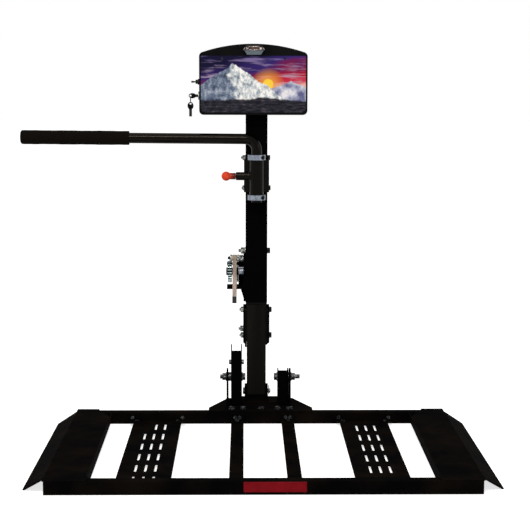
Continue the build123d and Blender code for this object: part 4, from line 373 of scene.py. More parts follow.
def chrome_plate(add, place, sizes, colours):
    """Chromed zinc casting: near-mirror, its dark base colour a painted reflection of the black cover, with a
    soft ripple.
    """
    ripple = grain(add, place, 0.008, 2.0)
    pits = grain(add, place, 0.0012, 3.0)
    return dict(Base_Color=blend(add, ripple, 0.4, 0.6, "#1A1817", "#3E3836"), Metallic=1.0,
                Roughness=add("MapRange", pits, 0.3, 0.7, 0.1, 0.24),
                Normal=rounded_bump(add, ripple, 0.0003, 0.5, 0.001))


def bright_chrome_trim(add, place, sizes, colours):
    """Polished chrome bead round the lamp: nearly white, faintly warm."""
    ripple = grain(add, place, 0.006, 3.0)
    return dict(Base_Color=blend(add, ripple, 0.35, 0.6, "#C4B9B6", "#8A807D"), Metallic=1.0,
                Roughness=add("MapRange", ripple, 0.3, 0.7, 0.22, 0.34),
                Normal=rounded_bump(add, ripple, 0.00002, 0.3))


def ribbed_lens(add, place, sizes, colours):
    """Clear polycarbonate lamp lens over a pale interior: cool grey with moulded ribs 2.4 mm apart."""
    along = add("SeparateXYZ", place, output="X")
    ribs = add("Math SINE", add("Math MULTIPLY", along, TAU / 0.0024))
    haze = add("Math MULTIPLY", grain(add, place, 0.006, 3.0), 0.4)
    # painted light and shade: the ribs are drawn in lighter and darker stripes
    colour = blend(add, ribs, -1, 1, "#3F4F5A", "#7F909C")
    return dict(Base_Color=add("Mix RGBA", haze, colour, "#6E767C"), Roughness=0.15, IOR=1.58,
                Specular_IOR_Level=0.3, Normal=rounded_bump(add, ribs, 0.0003, 0.6))


def lamp_bulb_window(add, place, sizes, colours):
    """Smoked inner window of the lamp: brown-grey behind a gloss face."""
    glow = grain(add, place, 0.009, 2.0)
    return dict(Base_Color=blend(add, glow, 0.3, 0.7, "#241313", "#5A443C"), Roughness=0.2,
                Specular_IOR_Level=0.3, Normal=rounded_bump(add, glow, 0.0003, 0.4))


def cast_bronze(add, place, sizes, colours):
    """Machined bearing bronze: turned rings and a dull gold tone."""
    rings = grain(add, place, 0.001, 2.0, (0.2, 0.2, 1))
    return dict(Base_Color=add("Mix RGBA", rings, "#A8794A", "#7E5931"), Metallic=1.0,
                Roughness=add("MapRange", rings, 0.3, 0.7, 0.3, 0.45),
                Normal=rounded_bump(add, rings, 0.00005, 0.5))


def rolled_screw_steel(add, place, sizes, colours):
    """Rolled thread in steel with grease: crests painted bright and roots painted dark, as highlight and
    shade, 12.7 mm apart round the screw.
    """
    x, y, z = add("SeparateXYZ", place, output=None)
    screw_x, screw_y = JOINTS["screw_spin"][:2]
    turn = add("Math ARCTAN2", add("Math SUBTRACT", y, screw_y), add("Math SUBTRACT", x, screw_x))
    helix = add("Math SINE", add("Math ADD", add("Math MULTIPLY", z, TAU / 0.0127), turn))
    grease = grain(add, place, 0.01, 3.0)
    # painted highlight on the crests and painted shade in the roots
    crests = blend(add, helix, -0.4, 0.4, "#3C352B", "#9C9C9E")
    return dict(Base_Color=add("Mix RGBA", add("Math MULTIPLY", grease, 0.4), crests, "#5A4B33"),
                Metallic=0.9, Roughness=add("MapRange", grease, 0.3, 0.7, 0.2, 0.4),
                Normal=rounded_bump(add, helix, 0.002, 0.8))


def enamelled_motor(add, place, sizes, colours):
    """Sprayed enamel on the cast gear motor."""
    cast = grain(add, place, 0.0025, 3.0)
    return dict(Base_Color=add("Mix RGBA", cast, "#1E1E21", "#2B2B2E"), Roughness=0.45,
                Normal=rounded_bump(add, cast, 0.0002, 0.5, 0.001))


def solder_masked_board(add, place, sizes, colours):
    """Glass-epoxy circuit board: green solder mask over a grid of tracks."""
    upright = add("Mapping", place, Rotation=(radians(90), 0, 0))
    tracks = add("TexBrick", upright, Color1="#12512F", Color2="#0E4227", Mortar="#1F7A48", Scale=60.0)
    haze = grain(add, place, 0.01)
    return dict(Base_Color=tracks, Roughness=add("MapRange", haze, 0.3, 0.7, 0.25, 0.4))


def nickel_plate(add, place, sizes, colours):
    """Nickel-plated brass of the keys and ring: warm grey, scratched by use."""
    scratch = grain(add, place, 0.0016, 3.0, (1, 1, 0.2), 0.7)
    return dict(Base_Color=blend(add, scratch, 0.3, 0.7, "#3A3733", "#171614"), Metallic=1.0,
                Roughness=add("MapRange", scratch, 0.3, 0.7, 0.2, 0.4),
                Normal=rounded_bump(add, scratch, 0.00008, 0.6, 0.0003))


def woven_webbing(add, place, sizes, colours):
    """Woven polyester webbing: ribbed threads across and along, tan near the roller and paler towards its
    end, the change being painted light and shade.

    UV is in metres: X across the strap, Y along it. The threads are the product of two sines."""
    u, v, _ = add("SeparateXYZ", add("TexCoord", output="UV"), output=None)
    across, along = (add("Math MULTIPLY", way, TAU / sizes.weave_pitch) for way in (u, v))
    warp = add("Math SINE", add("Math ADD", across, add("Math MULTIPLY", along, 0.5)))
    weft = add("Math SINE", add("Math SUBTRACT", along, add("Math MULTIPLY", across, 0.5)))
    thread = add("Math MULTIPLY", add("Math ABSOLUTE", warp), add("Math ABSOLUTE", weft))
    soil = grain(add, place, 0.012, 4.0)
    height = add("SeparateXYZ", place, output="Z")
    # painted light: the webbing is drawn paler below 0.40 to 0.47 m, where more light falls, and darker above
    colour = blend(add, height, 0.40, 0.47, colours.strap_end_lit, colours.strap_top_shaded)
    # painted shade: darker in the hollows between the threads
    colour = blend(add, thread, 0.0, 0.6, colour, "#6F6152", (0.75, 0.0))
    colour = blend(add, soil, 0.45, 0.8, colour, "#8A7C6C", (0.0, 0.5))
    # the right selvedge is drawn a dark maroon
    colour = blend(add, u, 0.0044, 0.0056, colour, "#4A2622", (0.0, 0.85))
    return dict(Base_Color=colour, Roughness=0.8, Sheen_Weight=0.2, Sheen_Roughness=0.5,
                Normal=rounded_bump(add, thread, 0.0004, 0.8))


def sealed_webbing_end(add, place, sizes, colours):
    """Heat-sealed black end of the webbing."""
    melt = grain(add, place, 0.002, 3.0)
    return dict(Base_Color=add("Mix RGBA", melt, "#0C0C0D", "#2C2B2C"), Roughness=0.6,
                Specular_IOR_Level=0.3, Normal=rounded_bump(add, melt, 0.0003, 0.7))


def printed_film(add, place, sizes, colours):
    """Gloss film with a printed dusk landscape: indigo and crimson sky, snowy peaks, gold sun, dark hills.

    The picture is worked out from the panel's own place: u runs 0 to 1 across it and v 0 to 1 up it."""
    low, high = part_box("display_panel")
    wide, tall = high[0] - low[0], high[2] - low[2]
    local = add("Mapping", place, Location=(-low[0] / wide, 0, -low[2] / tall), Scale=(1 / wide, 0, 1 / tall))
    u, _, v = add("SeparateXYZ", local, output=None)

    def noise(scale, stretch=(1, 1, 1), detail=4.0, roughness=0.55):
        return add("TexNoise", add("Mapping", local, Scale=stretch), scale, detail, roughness)

    def wander(amount, *noise_settings):
        return add("Math MULTIPLY", add("Math SUBTRACT", noise(*noise_settings), 0.5), amount)

    def draw_below(picture, height, tone, soft=0.008):
        return blend(add, add("Math SUBTRACT", height, v), -soft, soft, picture, tone)

    def peak(centre, top, slope, ragged, scale):
        fall = add("Math MULTIPLY", add("Math ABSOLUTE", add("Math SUBTRACT", u, centre)), slope)
        return add("Math ADD", add("Math SUBTRACT", top, fall), wander(ragged, scale, (1, 1, 0.2), 6.0, 0.65))

    drift = add("Math ADD", v, wander(0.5, 2.2, (1, 1, 1.6)))
    sky = add("ValToRGB", add("Math ADD", drift, add("Math MULTIPLY", u, -0.42)), steps=[
        (0.06, "#E3A9A0"), (0.16, "#C4304A"), (0.34, "#A6142F"), (0.46, "#6E1B4A"), (0.58, "#33246A"),
        (0.76, "#120F30")])
    cloud = add("Mix RGBA", v, "#F3DCD6", "#7A6BA8")
    picture = blend(add, noise(3.0, (1, 1, 4.5), 6.0, 0.6), 0.52, 0.66, sky, cloud, (0.0, 0.75))
    sun_u, sun_v = 0.64, 0.50
    aside = add("Math MULTIPLY", add("Math SUBTRACT", u, sun_u), wide / tall)
    away = distance_of(add, aside, add("Math SUBTRACT", v, sun_v))
    picture = blend(add, away, 0.10, 0.30, picture, "#F0A646", (0.7, 0.0))
    picture = blend(add, away, 0.085, 0.098, picture, "#F6CF45", (1.0, 0.0))
    far_tone = add("ValToRGB", noise(5.0, (1.6, 1, 0.7), 5.0, 0.6), steps=[
        (0.38, "#5A5F8A"), (0.52, "#B9BDD2"), (0.62, "#E6E4EA")])
    far = peak(centre=0.86, top=0.56, slope=0.75, ragged=0.18, scale=6.0)
    picture = draw_below(picture, far, far_tone)
    summit = 0.30
    ridge = add("Math ADD", add("Math SUBTRACT", u, summit), wander(0.35, 4.0))
    snow = add("ValToRGB", noise(9.0, (2.4, 1, 0.8), 6.0, 0.7), steps=[
        (0.36, "#707C8A"), (0.48, "#C3CCD2"), (0.56, "#F4F5F4")])
    shade = add("ValToRGB", noise(8.0, (1.8, 1, 0.9), 6.0, 0.7), steps=[
        (0.36, "#2F3850"), (0.5, "#66748C"), (0.66, "#AEB9C6")])
    near = peak(centre=summit, top=0.86, slope=1.25, ragged=0.22, scale=5.0)
    picture = draw_below(picture, near, blend(add, ridge, -0.02, 0.02, shade, snow))
    hills = add("Math ADD", 0.08, add("Math MULTIPLY", noise(2.6, (1, 1, 0.1), 5.0, 0.6), 0.30))
    hill_tone = add("ValToRGB", noise(14.0, (1, 1, 1.8), 5.0, 0.6), steps=[
        (0.4, "#15161F"), (0.6, "#33323C"), (0.75, "#6A5A5E")])
    waves = grain(add, place, 0.05)
    return dict(Base_Color=draw_below(picture, hills, hill_tone, 0.015), Roughness=0.22,
                Specular_IOR_Level=0.06, Normal=rounded_bump(add, waves, 0.0004, 0.3, 0.0006))


FINISHES = {
    "black_powder_coat": satin_powder_coat,
    "charcoal_tube": worn_tube_paint,
    "gloss_black_tube": gloss_black_enamel,
    "zinc_plate": zinc_plated_steel,
    "foam_grip": eva_foam,
    "red_knob": moulded_knob,
    "red_reflector": prismatic_reflector,
    "black_plastic": moulded_abs,
    "display_film": printed_film,
    "lamp_chrome": chrome_plate,
    "lamp_glass": ribbed_lens,
    "bronze": cast_bronze,
    "screw_steel": rolled_screw_steel,
    "motor_paint": enamelled_motor,
    "circuit_board": solder_masked_board,
    "webbing": woven_webbing,
    "key_nickel": nickel_plate,
    "dark_zinc": dark_zinc_steel,
    "wheel_steel": tempered_wheel_steel,
    "strap_end": sealed_webbing_end,
    "lamp_window": lamp_bulb_window,
    "lamp_trim": bright_chrome_trim,
    "collar_zinc": turned_collar_zinc,
    "dull_zinc": dulled_zinc,
}

# Nodes whose finish differs a little from their material's usual one
SPECIAL_FINISH = {
    "arm_bracket": "gloss_black_tube",
    "ratchet_wheel": "wheel_steel",
    "toggle_lever": "dark_zinc",
    "toggle_switch": "dark_zinc",
    "collar_screws": "dark_zinc",
    "strap_spool": "dark_zinc",
    "ratchet_axle": "collar_zinc",
    "upright_bolts": "dull_zinc",
    "arm_collars": "collar_zinc",
    "platform_bolts": "dull_zinc",
    "lock_plug": "key_nickel",
}


def finish_for(finish):
    """The material of one finish, made once and named for its recipe."""
    recipe = FINISHES[finish]
    material = bpy.data.materials.get(recipe.__name__)
    if material is None:
        scene = bpy.context.scene
        material = bpy.data.materials.new(recipe.__name__)
        add = empty_tree(material)
        inputs = recipe(add, add("TexCoord", output="Object"), scene.lift_sizes, scene.lift_colours)
        add("OutputMaterial", Surface=add("BsdfPrincipled", **inputs))
    return material


def finish_nodes(*names):
    """Puts each CAD node's finish, named by the record's slot or by SPECIAL_FINISH, on its object."""
    slots = {row["node"]: row["material_slot"] for row in frame["record"]["subparts"]}
    for name in names:
        for slot in frame["nodes"][name].material_slots:
            slot.material = finish_for(SPECIAL_FINISH.get(name, slots[name]))


class Surface(NamedTuple):
    """A grid of points[u, v], and its UV in metres. A closed direction joins its last row to its first."""

    points: np.ndarray
    closed_u: bool = False
    closed_v: bool = True
    uv: np.ndarray | None = None


def join_surfaces(name, surfaces, body, finish, sharp):
    """Makes one object from surfaces; neighbours in u and v are joined by four-sided faces."""
    places, faces, uvs = [], [], []
    start = 0
    for points, closed_u, closed_v, uv in surfaces:
        rows, columns = points.shape[:2]
        index = np.arange(rows * columns).reshape(rows, columns) + start
        if closed_u:
            index = np.vstack([index, index[:1]])
        if closed_v:
            index = np.hstack([index, index[:, :1]])
        quads = np.stack([index[:-1, :-1], index[1:, :-1], index[1:, 1:], index[:-1, 1:]], axis=-1)
        faces.append(quads.reshape(-1, 4))
        places.append(points.reshape(-1, 3))
        uvs.append(np.zeros((rows * columns, 2)) if uv is None else uv.reshape(-1, 2))
        start += rows * columns
    mesh = bpy.data.meshes.new(name)
    mesh.from_pydata(np.vstack(places).tolist(), [], np.vstack(faces).tolist())
    layer = mesh.uv_layers.new(name="UVMap")
    corners = np.empty(len(mesh.loops), dtype=np.int32)
    mesh.loops.foreach_get("vertex_index", corners)
    layer.data.foreach_set("uv", np.vstack(uvs)[corners].astype(np.float32).ravel())
    tidy_surface(mesh, sharp)
    mesh.materials.append(finish_for(finish))
    piece = bpy.data.objects.new(name, mesh)
    bpy.context.scene.collection.objects.link(piece)
    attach(piece, body)
    return piece


def tidy_surface(mesh, sharp):
    """Merges the poles, turns every face outwards and shades smooth up to an angle."""
    work = bmesh.new()
    work.from_mesh(mesh)
    bmesh.ops.remove_doubles(work, verts=work.verts, dist=1e-7)
    bmesh.ops.dissolve_degenerate(work, edges=work.edges, dist=1e-8)
    bmesh.ops.recalc_face_normals(work, faces=work.faces)
    work.to_mesh(mesh)
    work.free()
    mesh.shade_smooth()
    mesh.set_sharp_from_angle(angle=radians(sharp))


def frame_along(axis):
    """Two unit vectors square to an axis, as an array of three rows with the axis last."""
    axis = np.asarray(axis, float) / np.linalg.norm(axis)
    side = np.cross(axis, (0, 0, 1) if abs(axis[2]) < 0.9 else (1, 0, 0))
    side /= np.linalg.norm(side)
    return np.array([side, np.cross(axis, side), axis])


def angles(steps):
    """Evenly spaced angles round a full turn."""
    return np.linspace(0, TAU, steps, endpoint=False)


def circle(steps):
    """The cosine and sine of each angle round a full turn, as rows."""
    return np.stack([np.cos(angles(steps)), np.sin(angles(steps))], axis=1)


def rings_about(foot, axis, levels, radii, steps):
    """Rings about an axis: each has a level and a radius, either a number or one value for each angle."""
    basis = frame_along(axis)
    around = circle(steps) @ basis[:2]
    levels, radii = (np.stack([np.broadcast_to(value, steps) for value in rows]) for rows in (levels, radii))
    return np.asarray(foot, float) + levels[..., None] * basis[2] + radii[..., None] * around


def turned(profile, foot, axis, steps):
    """A turned surface: each (height, radius) of the profile goes round the axis from its foot."""
    return Surface(rings_about(foot, axis, *zip(*profile), steps))


def hex_head(foot, axis, flats, height, washer=0.0):
    """A hexagon head or nut, chamfered: the corners are cut by a 30 degree cone.

    Radius at an angle is half the flats over cos(angle from the flat); each corner's top is lowered
    by its radius beyond the flats times tan 30. A washer's thickness adds its round face below."""
    steps = 48
    half, sixth = flats / 2, TAU / 6
    corner = half / np.cos((angles(steps) + sixth / 2) % sixth - sixth / 2)
    drop = (corner - half) * np.tan(radians(30))
    burr, dish, flange = 0.0003, 0.0002, half * 1.22
    if washer:
        below = [(0.0, flange), (washer, flange), (washer, corner)]
    else:
        below = [(0.0, corner - burr), (burr, corner)]
    above = [(height - drop, corner), (height, half * 0.94),
             (height - dish, half * 0.5), (height - dish, 0.0)]
    return Surface(rings_about(foot, axis, *zip((0.0, 0.0), *below, *above), steps))


def screw_thread(foot, axis, radius, length):
    """A threaded end: the radius falls and rises once each pitch, shifted by the angle round the axis."""
    pitch, depth, steps = 0.0018, 0.0006, 40
    taper, taper_length = 0.0008, 0.0012
    levels = np.linspace(0, length, max(12, int(length / pitch * 8)))
    wave = np.abs(((levels[:, None] / pitch - angles(steps) / TAU) % 1) * 2 - 1)
    fade = np.clip((length - levels) / taper_length, 0, 1)[:, None]
    size = radius - depth * wave - taper * (1 - fade)
    size[0], size[-1] = 0.0, 0.0
    return Surface(rings_about(foot, axis, levels, size, steps))


def dome_screw(foot, axis, radius, height):
    """A domed screw head: it falls as the square of the distance from the middle, with a cross's dip.

    fall and dip are shares of its height, and half_slot and reach are shares of its radius."""
    fall, dip, half_slot, reach = 0.55, 0.45, 0.13, 0.72
    turns = circle(36)
    share = np.linspace(0, 1, 14)[:, None]
    x, y = share * turns[:, 0], share * turns[:, 1]
    level = height * (1 - fall * share**2) * np.ones_like(x)
    cross = (np.minimum(np.abs(x), np.abs(y)) < half_slot) & (share < reach)
    level = np.where(cross, level - dip * height, level)
    basis = frame_along(axis)
    foot = np.asarray(foot, float)
    top = foot + level[..., None] * basis[2] + radius * (x[..., None] * basis[0] + y[..., None] * basis[1])
    rim = foot + radius * turns @ basis[:2]
    return Surface(np.concatenate([top, rim[None], np.broadcast_to(foot, rim.shape)[None]]))


def path_frames(path, closed):
    """Unit tangents of a path, and the path's own length at each point."""
    ahead = np.roll(path, -1, axis=0) - path
    behind = path - np.roll(path, 1, axis=0)
    if not closed:
        ahead[-1], behind[0] = behind[-1], ahead[0]
    tangent = ahead + behind
    tangent /= np.linalg.norm(tangent, axis=1)[:, None]
    steps = np.linalg.norm(np.diff(path, axis=0), axis=1)
    return tangent, np.concatenate([[0], np.cumsum(steps)])


def resample(path, spacing):
    """The same path with points one spacing apart along it."""
    length = path_frames(path, False)[1]
    marks = np.linspace(0, length[-1], max(8, int(length[-1] / spacing)))
    return np.stack([np.interp(marks, length, path[:, i]) for i in range(3)], axis=1)


def capped(points):
    """The same tube with a row at its middle before its first row and after its last one."""
    middles = np.repeat(points.mean(axis=1)[:, None], points.shape[1], axis=1)
    return np.concatenate([middles[:1], points, middles[-1:]])


def weld_bead(path, up, radius, closed=False):
    """A weld bead: a flattened tube along a path, its radius swelling once each ripple.

    An open bead's ends shrink to a point by the root of the distance from the end."""
    spacing, ripple_pitch, end_length = 0.0007, 0.0021, 0.002
    width_share, height_share = 1.15, 0.75
    path = resample(np.asarray(path, float), spacing)
    if closed:
        path = path[:-1]
    tangent, length = path_frames(path, closed)
    up = np.atleast_2d(np.asarray(up, float))
    marks, here = np.linspace(0, 1, len(up)), np.linspace(0, 1, len(path))
    up = np.stack([np.interp(here, marks, up[:, i]) for i in range(3)], axis=1)
    side = np.cross(tangent, up)
    side /= np.linalg.norm(side, axis=1)[:, None]
    lift = np.cross(side, tangent)
    wander = 0.06 * np.sin(length * 410) + 0.05 * np.sin(length * 173 + 1)
    ripple = 1 + 0.11 * np.abs(np.sin(length * np.pi / ripple_pitch)) + wander
    if not closed:
        ripple *= np.sqrt(np.clip(np.minimum(length, length[-1] - length) / end_length, 0, 1))
    across, above = (circle(10) * (width_share, height_share)).T[:, None, :, None]
    size = radius * ripple[:, None, None]
    return Surface(path[:, None] + size * (across * side[:, None] + above * lift[:, None]), closed)


def band_along(path, width, thickness, along_x):
    """Webbing: a flat section with rounded edges, carried along a path in the Y-Z plane.

    The section is a superellipse, with nearly flat faces and soft edges: width across X and
    thickness square to the path. along_x moves each point of the path aside."""
    tangent, length = path_frames(path, False)
    normal = np.cross((1.0, 0.0, 0.0), tangent)
    normal /= np.linalg.norm(normal, axis=1)[:, None]
    turns, powers = circle(28), (0.35, 0.55)
    across, through = (np.sign(turns) * np.abs(turns) ** powers * (width, thickness) / 2).T
    points = path[:, None] + through[:, None] * normal[:, None]
    points[..., 0] += across + along_x[:, None]
    marks = np.concatenate([length[:1], length, length[-1:]])
    return Surface(capped(points), uv=np.stack(np.broadcast_arrays(across, marks[:, None]), axis=-1))


def separate_solids(node):
    """Low and high corners of each separate solid of a CAD node, as pairs.

    Labels spread to the lowest label of each triangle's corners until nothing changes."""
    mesh = frame["nodes"][node].data
    places = np.empty(len(mesh.vertices) * 3, np.float32)
    mesh.vertices.foreach_get("co", places)
    places = places.reshape(-1, 3).astype(float)
    _, same = np.unique(np.round(places * 1e5).astype(int), axis=0, return_inverse=True)
    same = same.ravel()
    corners = np.empty(len(mesh.loops), np.int32)
    mesh.loops.foreach_get("vertex_index", corners)
    triangles = same[corners].reshape(-1, 3)
    labels, before = np.arange(same.max() + 1), None
    while before is None or (labels != before).any():
        before = labels.copy()
        np.minimum.at(labels, triangles.ravel(), np.repeat(before[triangles].min(axis=1), 3))
        labels = labels[labels]
    owner = labels[same]
    groups = [places[owner == label] for label in np.unique(owner)]
    return [(group.min(axis=0), group.max(axis=0)) for group in groups]


class LIFT_OT_platform(bpy.types.Operator):
    """Gives the folding platform its coat, clips, ramps and reflector finishes"""
    bl_idname = "lift.finish_platform"
    bl_label = "Finish the platform"

    def execute(self, context):
        finish_nodes("rear_rail", "front_rail", "rail_end_caps", "crossbars", "left_tread_plate",
                     "right_tread_plate", "corner_clips", "left_ramp", "right_ramp", "reflector",
                     "hinge_base_plate", "left_hinge_lug", "right_hinge_lug", "platform_bolts")
        return {"FINISHED"}


class LIFT_OT_mast(bpy.types.Operator):
    """Finishes the mast, its foot, uprights, brackets and hitch bar"""
    bl_idname = "lift.finish_mast"
    bl_label = "Finish the mast"

    def execute(self, context):
        finish_nodes("mast_foot", "foot_pin", "foot_pin_clip", "left_upright", "right_upright",
                     "upright_bolts", "mast_inner_tube", "mast_outer_tube", "mast_glide_collar",
                     "guide_bracket", "guide_pads", "hitch_bar", "mast_bolts")
        return {"FINISHED"}


class LIFT_OT_drive(bpy.types.Operator):
    """Finishes the hidden drive: screw, nut, bearing, motor and board"""
    bl_idname = "lift.finish_drive"
    bl_label = "Finish the drive"

    def execute(self, context):
        finish_nodes("drive_nut", "lead_screw", "thrust_bearing", "gear_motor", "control_board")
        return {"FINISHED"}


class LIFT_OT_arm(bpy.types.Operator):
    """Finishes the hold-down arm, its bracket, collars and plunger"""
    bl_idname = "lift.finish_arm"
    bl_label = "Finish the arm"

    def execute(self, context):
        finish_nodes("arm_bracket", "arm_tube", "arm_grip", "arm_collars", "collar_screws",
                     "plunger_pin", "plunger_knob")
        return {"FINISHED"}


class LIFT_OT_ratchet(bpy.types.Operator):
    """Finishes the strap ratchet's metal pieces"""
    bl_idname = "lift.finish_ratchet"
    bl_label = "Finish the ratchet"

    def execute(self, context):
        finish_nodes("ratchet_frame", "ratchet_axle", "ratchet_wheel", "strap_spool", "webbing_roll",
                     "ratchet_pawl", "strap_roller", "strap_webbing")
        return {"FINISHED"}


class LIFT_OT_head(bpy.types.Operator):
    """Finishes the motor head: covers, printed panel, lamp, switch and keys"""
    bl_idname = "lift.finish_head"
    bl_label = "Finish the head"

    def execute(self, context):
        finish_nodes("head_front_cover", "head_rear_cover", "display_panel", "lamp_housing", "lamp_lens",
                     "cable_gland", "toggle_switch", "toggle_lever", "key_switch", "lock_plug",
                     "ignition_key", "key_ring", "spare_key")
        return {"FINISHED"}


def quarter_round(height, radius, size, towards):
    """A corner's (height, radius) points: a quarter circle from the side to an end at a height.

    towards is 1 where the end lies above the side and -1 where it lies below."""
    corner = np.linspace(0, np.pi / 2, 8)
    heights = height - towards * size * (1 - np.sin(corner))
    return np.stack([heights, radius - size + size * np.cos(corner)], axis=1)


class LIFT_OT_grip(bpy.types.Operator):
    """Makes the foam grip on the arm, a turned foam sleeve closed at its outer end"""
    bl_idname = "lift.make_grip"
    bl_label = "Make the foam grip"

    def execute(self, context):
        sizes = context.scene.lift_sizes
        radius, length = sizes.grip_radius, sizes.grip_length
        # the arm tube's middle line falls 4.6 mm from its end to the mast
        end = np.array([-0.684, ARM_Y, 0.8264])
        run = np.array([MAST_X, ARM_Y, 0.8218]) - end
        overhang, nose_size, cut_size = 0.004, 0.006, 0.002
        bore, clearance = 0.01535, 0.0004
        # a soft corner outside, a slightly uneven cylinder, a crisper cut end, and the bore
        nose = quarter_round(-overhang, radius, nose_size, -1)[::-1]
        along = np.linspace(nose_size, length - overhang - 2 * cut_size, 70)
        uneven = radius + 0.00022 * np.sin(along * 61) + 0.00014 * np.sin(along * 173 + 1)
        cut = quarter_round(length - overhang, radius, cut_size, 1)
        inner = [(length - overhang, bore), (overhang, bore), (-clearance, bore), (-clearance, 0.0)]
        profile = np.vstack([[(-overhang, 0.0), (-overhang, radius * 0.4)], nose,
                             np.stack([along, uneven], axis=1), cut, inner])
        piece = join_surfaces("foam_grip_sleeve", [turned(profile, end, run, 72)], "arm", "foam_grip", 60)
        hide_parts("arm_grip")
        return {"FINISHED"}


def strap_line(thickness, cut_z):
    """Middle line of the webbing in the Y-Z plane: off the roll, round the roller and down to its cut end.

    The straight run touches both circles: it leans by the angle whose sine is the difference of
    their radii over their distance."""
    roll, roller = np.array([WHEEL_Y, WHEEL_Z]), np.array([ROLLER_Y, ROLLER_Z])
    roll_radius, roller_radius = 0.0233 + thickness / 2, 0.0083 + thickness / 2
    gap = roller - roll
    touch = np.arctan2(gap[1], gap[0]) - np.pi / 2 + np.arcsin((roll_radius - roller_radius) / np.hypot(*gap))
    leave = roll + roll_radius * np.array([np.cos(touch), np.sin(touch)])
    angle = np.linspace(touch, np.pi, 40)
    bend = roller + roller_radius * np.stack([np.cos(angle), np.sin(angle)], axis=1)
    drop = np.stack([np.full(60, bend[-1, 0]), np.linspace(bend[-1, 1], cut_z, 60)], axis=1)
    line = np.vstack([leave[None], bend, drop[1:]])
    return np.column_stack([np.zeros(len(line)), line])


class LIFT_OT_strap(bpy.types.Operator):
    """Makes the webbing strap, its sealed end and the roll on the spool"""
    bl_idname = "lift.make_strap"
    bl_label = "Make the strap"

    def execute(self, context):
        sizes = context.scene.lift_sizes
        thickness = sizes.strap_thickness
        low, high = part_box("strap_webbing")
        width, middle = high[0] - low[0], (low[0] + high[0]) / 2
        path = resample(strap_line(thickness, round(low[2], 6)), 0.001)
        length = path_frames(path, False)[1]
        # it hangs a little uneven below the roller, 75 mm along it
        hang = np.clip((length - 0.075) / 0.1, 0, 1)
        path[:, 1] += 0.0011 * np.sin(hang * 5.2) * hang
        sway = middle + 0.0006 * np.sin(hang * 4.0)
        cut, overlap, slack = length[-1] - sizes.strap_tip, 0.0014, 0.0001
        cloth, end = length <= cut + slack, length >= cut - overlap
        strap = join_surfaces("strap_band", [band_along(path[cloth], width, thickness, sway[cloth])],
                              "mast", "webbing", 60)
        tip = join_surfaces("strap_sealed_end",
                            [band_along(path[end], width + 0.0003, thickness + 0.0004, sway[end])],
                            "mast", "strap_end", 60)
        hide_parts("strap_webbing")
        # the roll: a spiral whose radius grows by one thickness each turn
        first, last = 0.0118, 0.0222
        turns = (last - first) / thickness
        angle = np.linspace(0, TAU * turns, int(90 * turns))
        radius = first + thickness * angle / TAU
        y, z = WHEEL_Y + radius * np.cos(angle), WHEEL_Z + radius * np.sin(angle)
        spiral = np.column_stack([np.zeros_like(angle), y, z])
        wound = width - 0.0004
        rolled = join_surfaces("webbing_wound_roll",
                               [band_along(spiral, wound, thickness * 0.94, np.full(len(spiral), middle))],
                               "ratchet", "webbing", 60)
        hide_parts("webbing_roll")
        float(path_frames(spiral, False)[1][-1])
        return {"FINISHED"}


# The cosine of 30 degrees: a hexagon's width over its flats as a share of that over its corners
FLATS_SHARE = 0.866


def tray_bolts():
    """Hexagon bolts of the tray: the upright ones, wide ones with a washer, and those in the rails' sides,
    which point to the tray's middle."""
    bolts, small_flats, wide_flats, washer_thickness = [], 0.0100, 0.0159, 0.0016
    tray_middle = (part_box("front_rail")[0][1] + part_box("rear_rail")[1][1]) / 2
    for low, high in separate_solids("platform_bolts"):
        size, (x, y, z) = high - low, (low + high) / 2
        is_round = abs(size[0] - size[1]) < 0.0016
        if is_round and size[2] < min(0.8 * size[0], size[1]):
            flats, washer = (wide_flats, washer_thickness) if size[0] > 0.018 else (small_flats, 0.0)
            bolts.append(hex_head((x, y, low[2]), UP, flats, size[2], washer))
        else:
            away = np.sign(tray_middle - y)
            foot_y = low[1] if away > 0 else high[1]
            bolts.append(hex_head((x, foot_y, z), (0, away, 0), small_flats, size[1]))
    return bolts


def mast_bolts():
    """The mast's nuts with threads on its left, its heads on the right and behind, and the lamp's screws."""
    nuts, heads, lamp = [], [], []
    back_y, lamp_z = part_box("mast_outer_tube")[1][1], 1.0
    washer, inside = 0.0012, 0.001
    for low, high in separate_solids("mast_bolts"):
        size, (x, y, z) = high - low, (low + high) / 2
        if z > lamp_z:
            lamp.append(dome_screw((x, high[1], z), FRONT, size[0] / 2, size[1]))
        elif y > back_y:
            heads.append(hex_head((x, low[1], z), BACK, size[0] * FLATS_SHARE, size[1]))
        elif x > MAST_X:
            heads.append(hex_head((low[0], y, z), RIGHT, max(size[1:]) * FLATS_SHARE, size[0]))
        else:
            flats = max(size[1:]) * FLATS_SHARE
            # the guide's small screw carries a wide nut
            flats = 0.0150 if flats < 0.0108 else flats
            height = size[0] * 0.66
            nuts.append(hex_head((high[0], y, z), LEFT, flats, height, washer))
            nuts.append(screw_thread((high[0] - height + inside, y, z), LEFT, flats * 0.31,
                                     size[0] - height + inside))
    # the guide roller's stud nut, over the frame's seat
    seat_x = -0.0505
    nuts.append(hex_head((seat_x, ROLLER_Y, ROLLER_Z), LEFT, flats=0.0166, height=0.0131, washer=0.0014))
    return nuts, heads, lamp


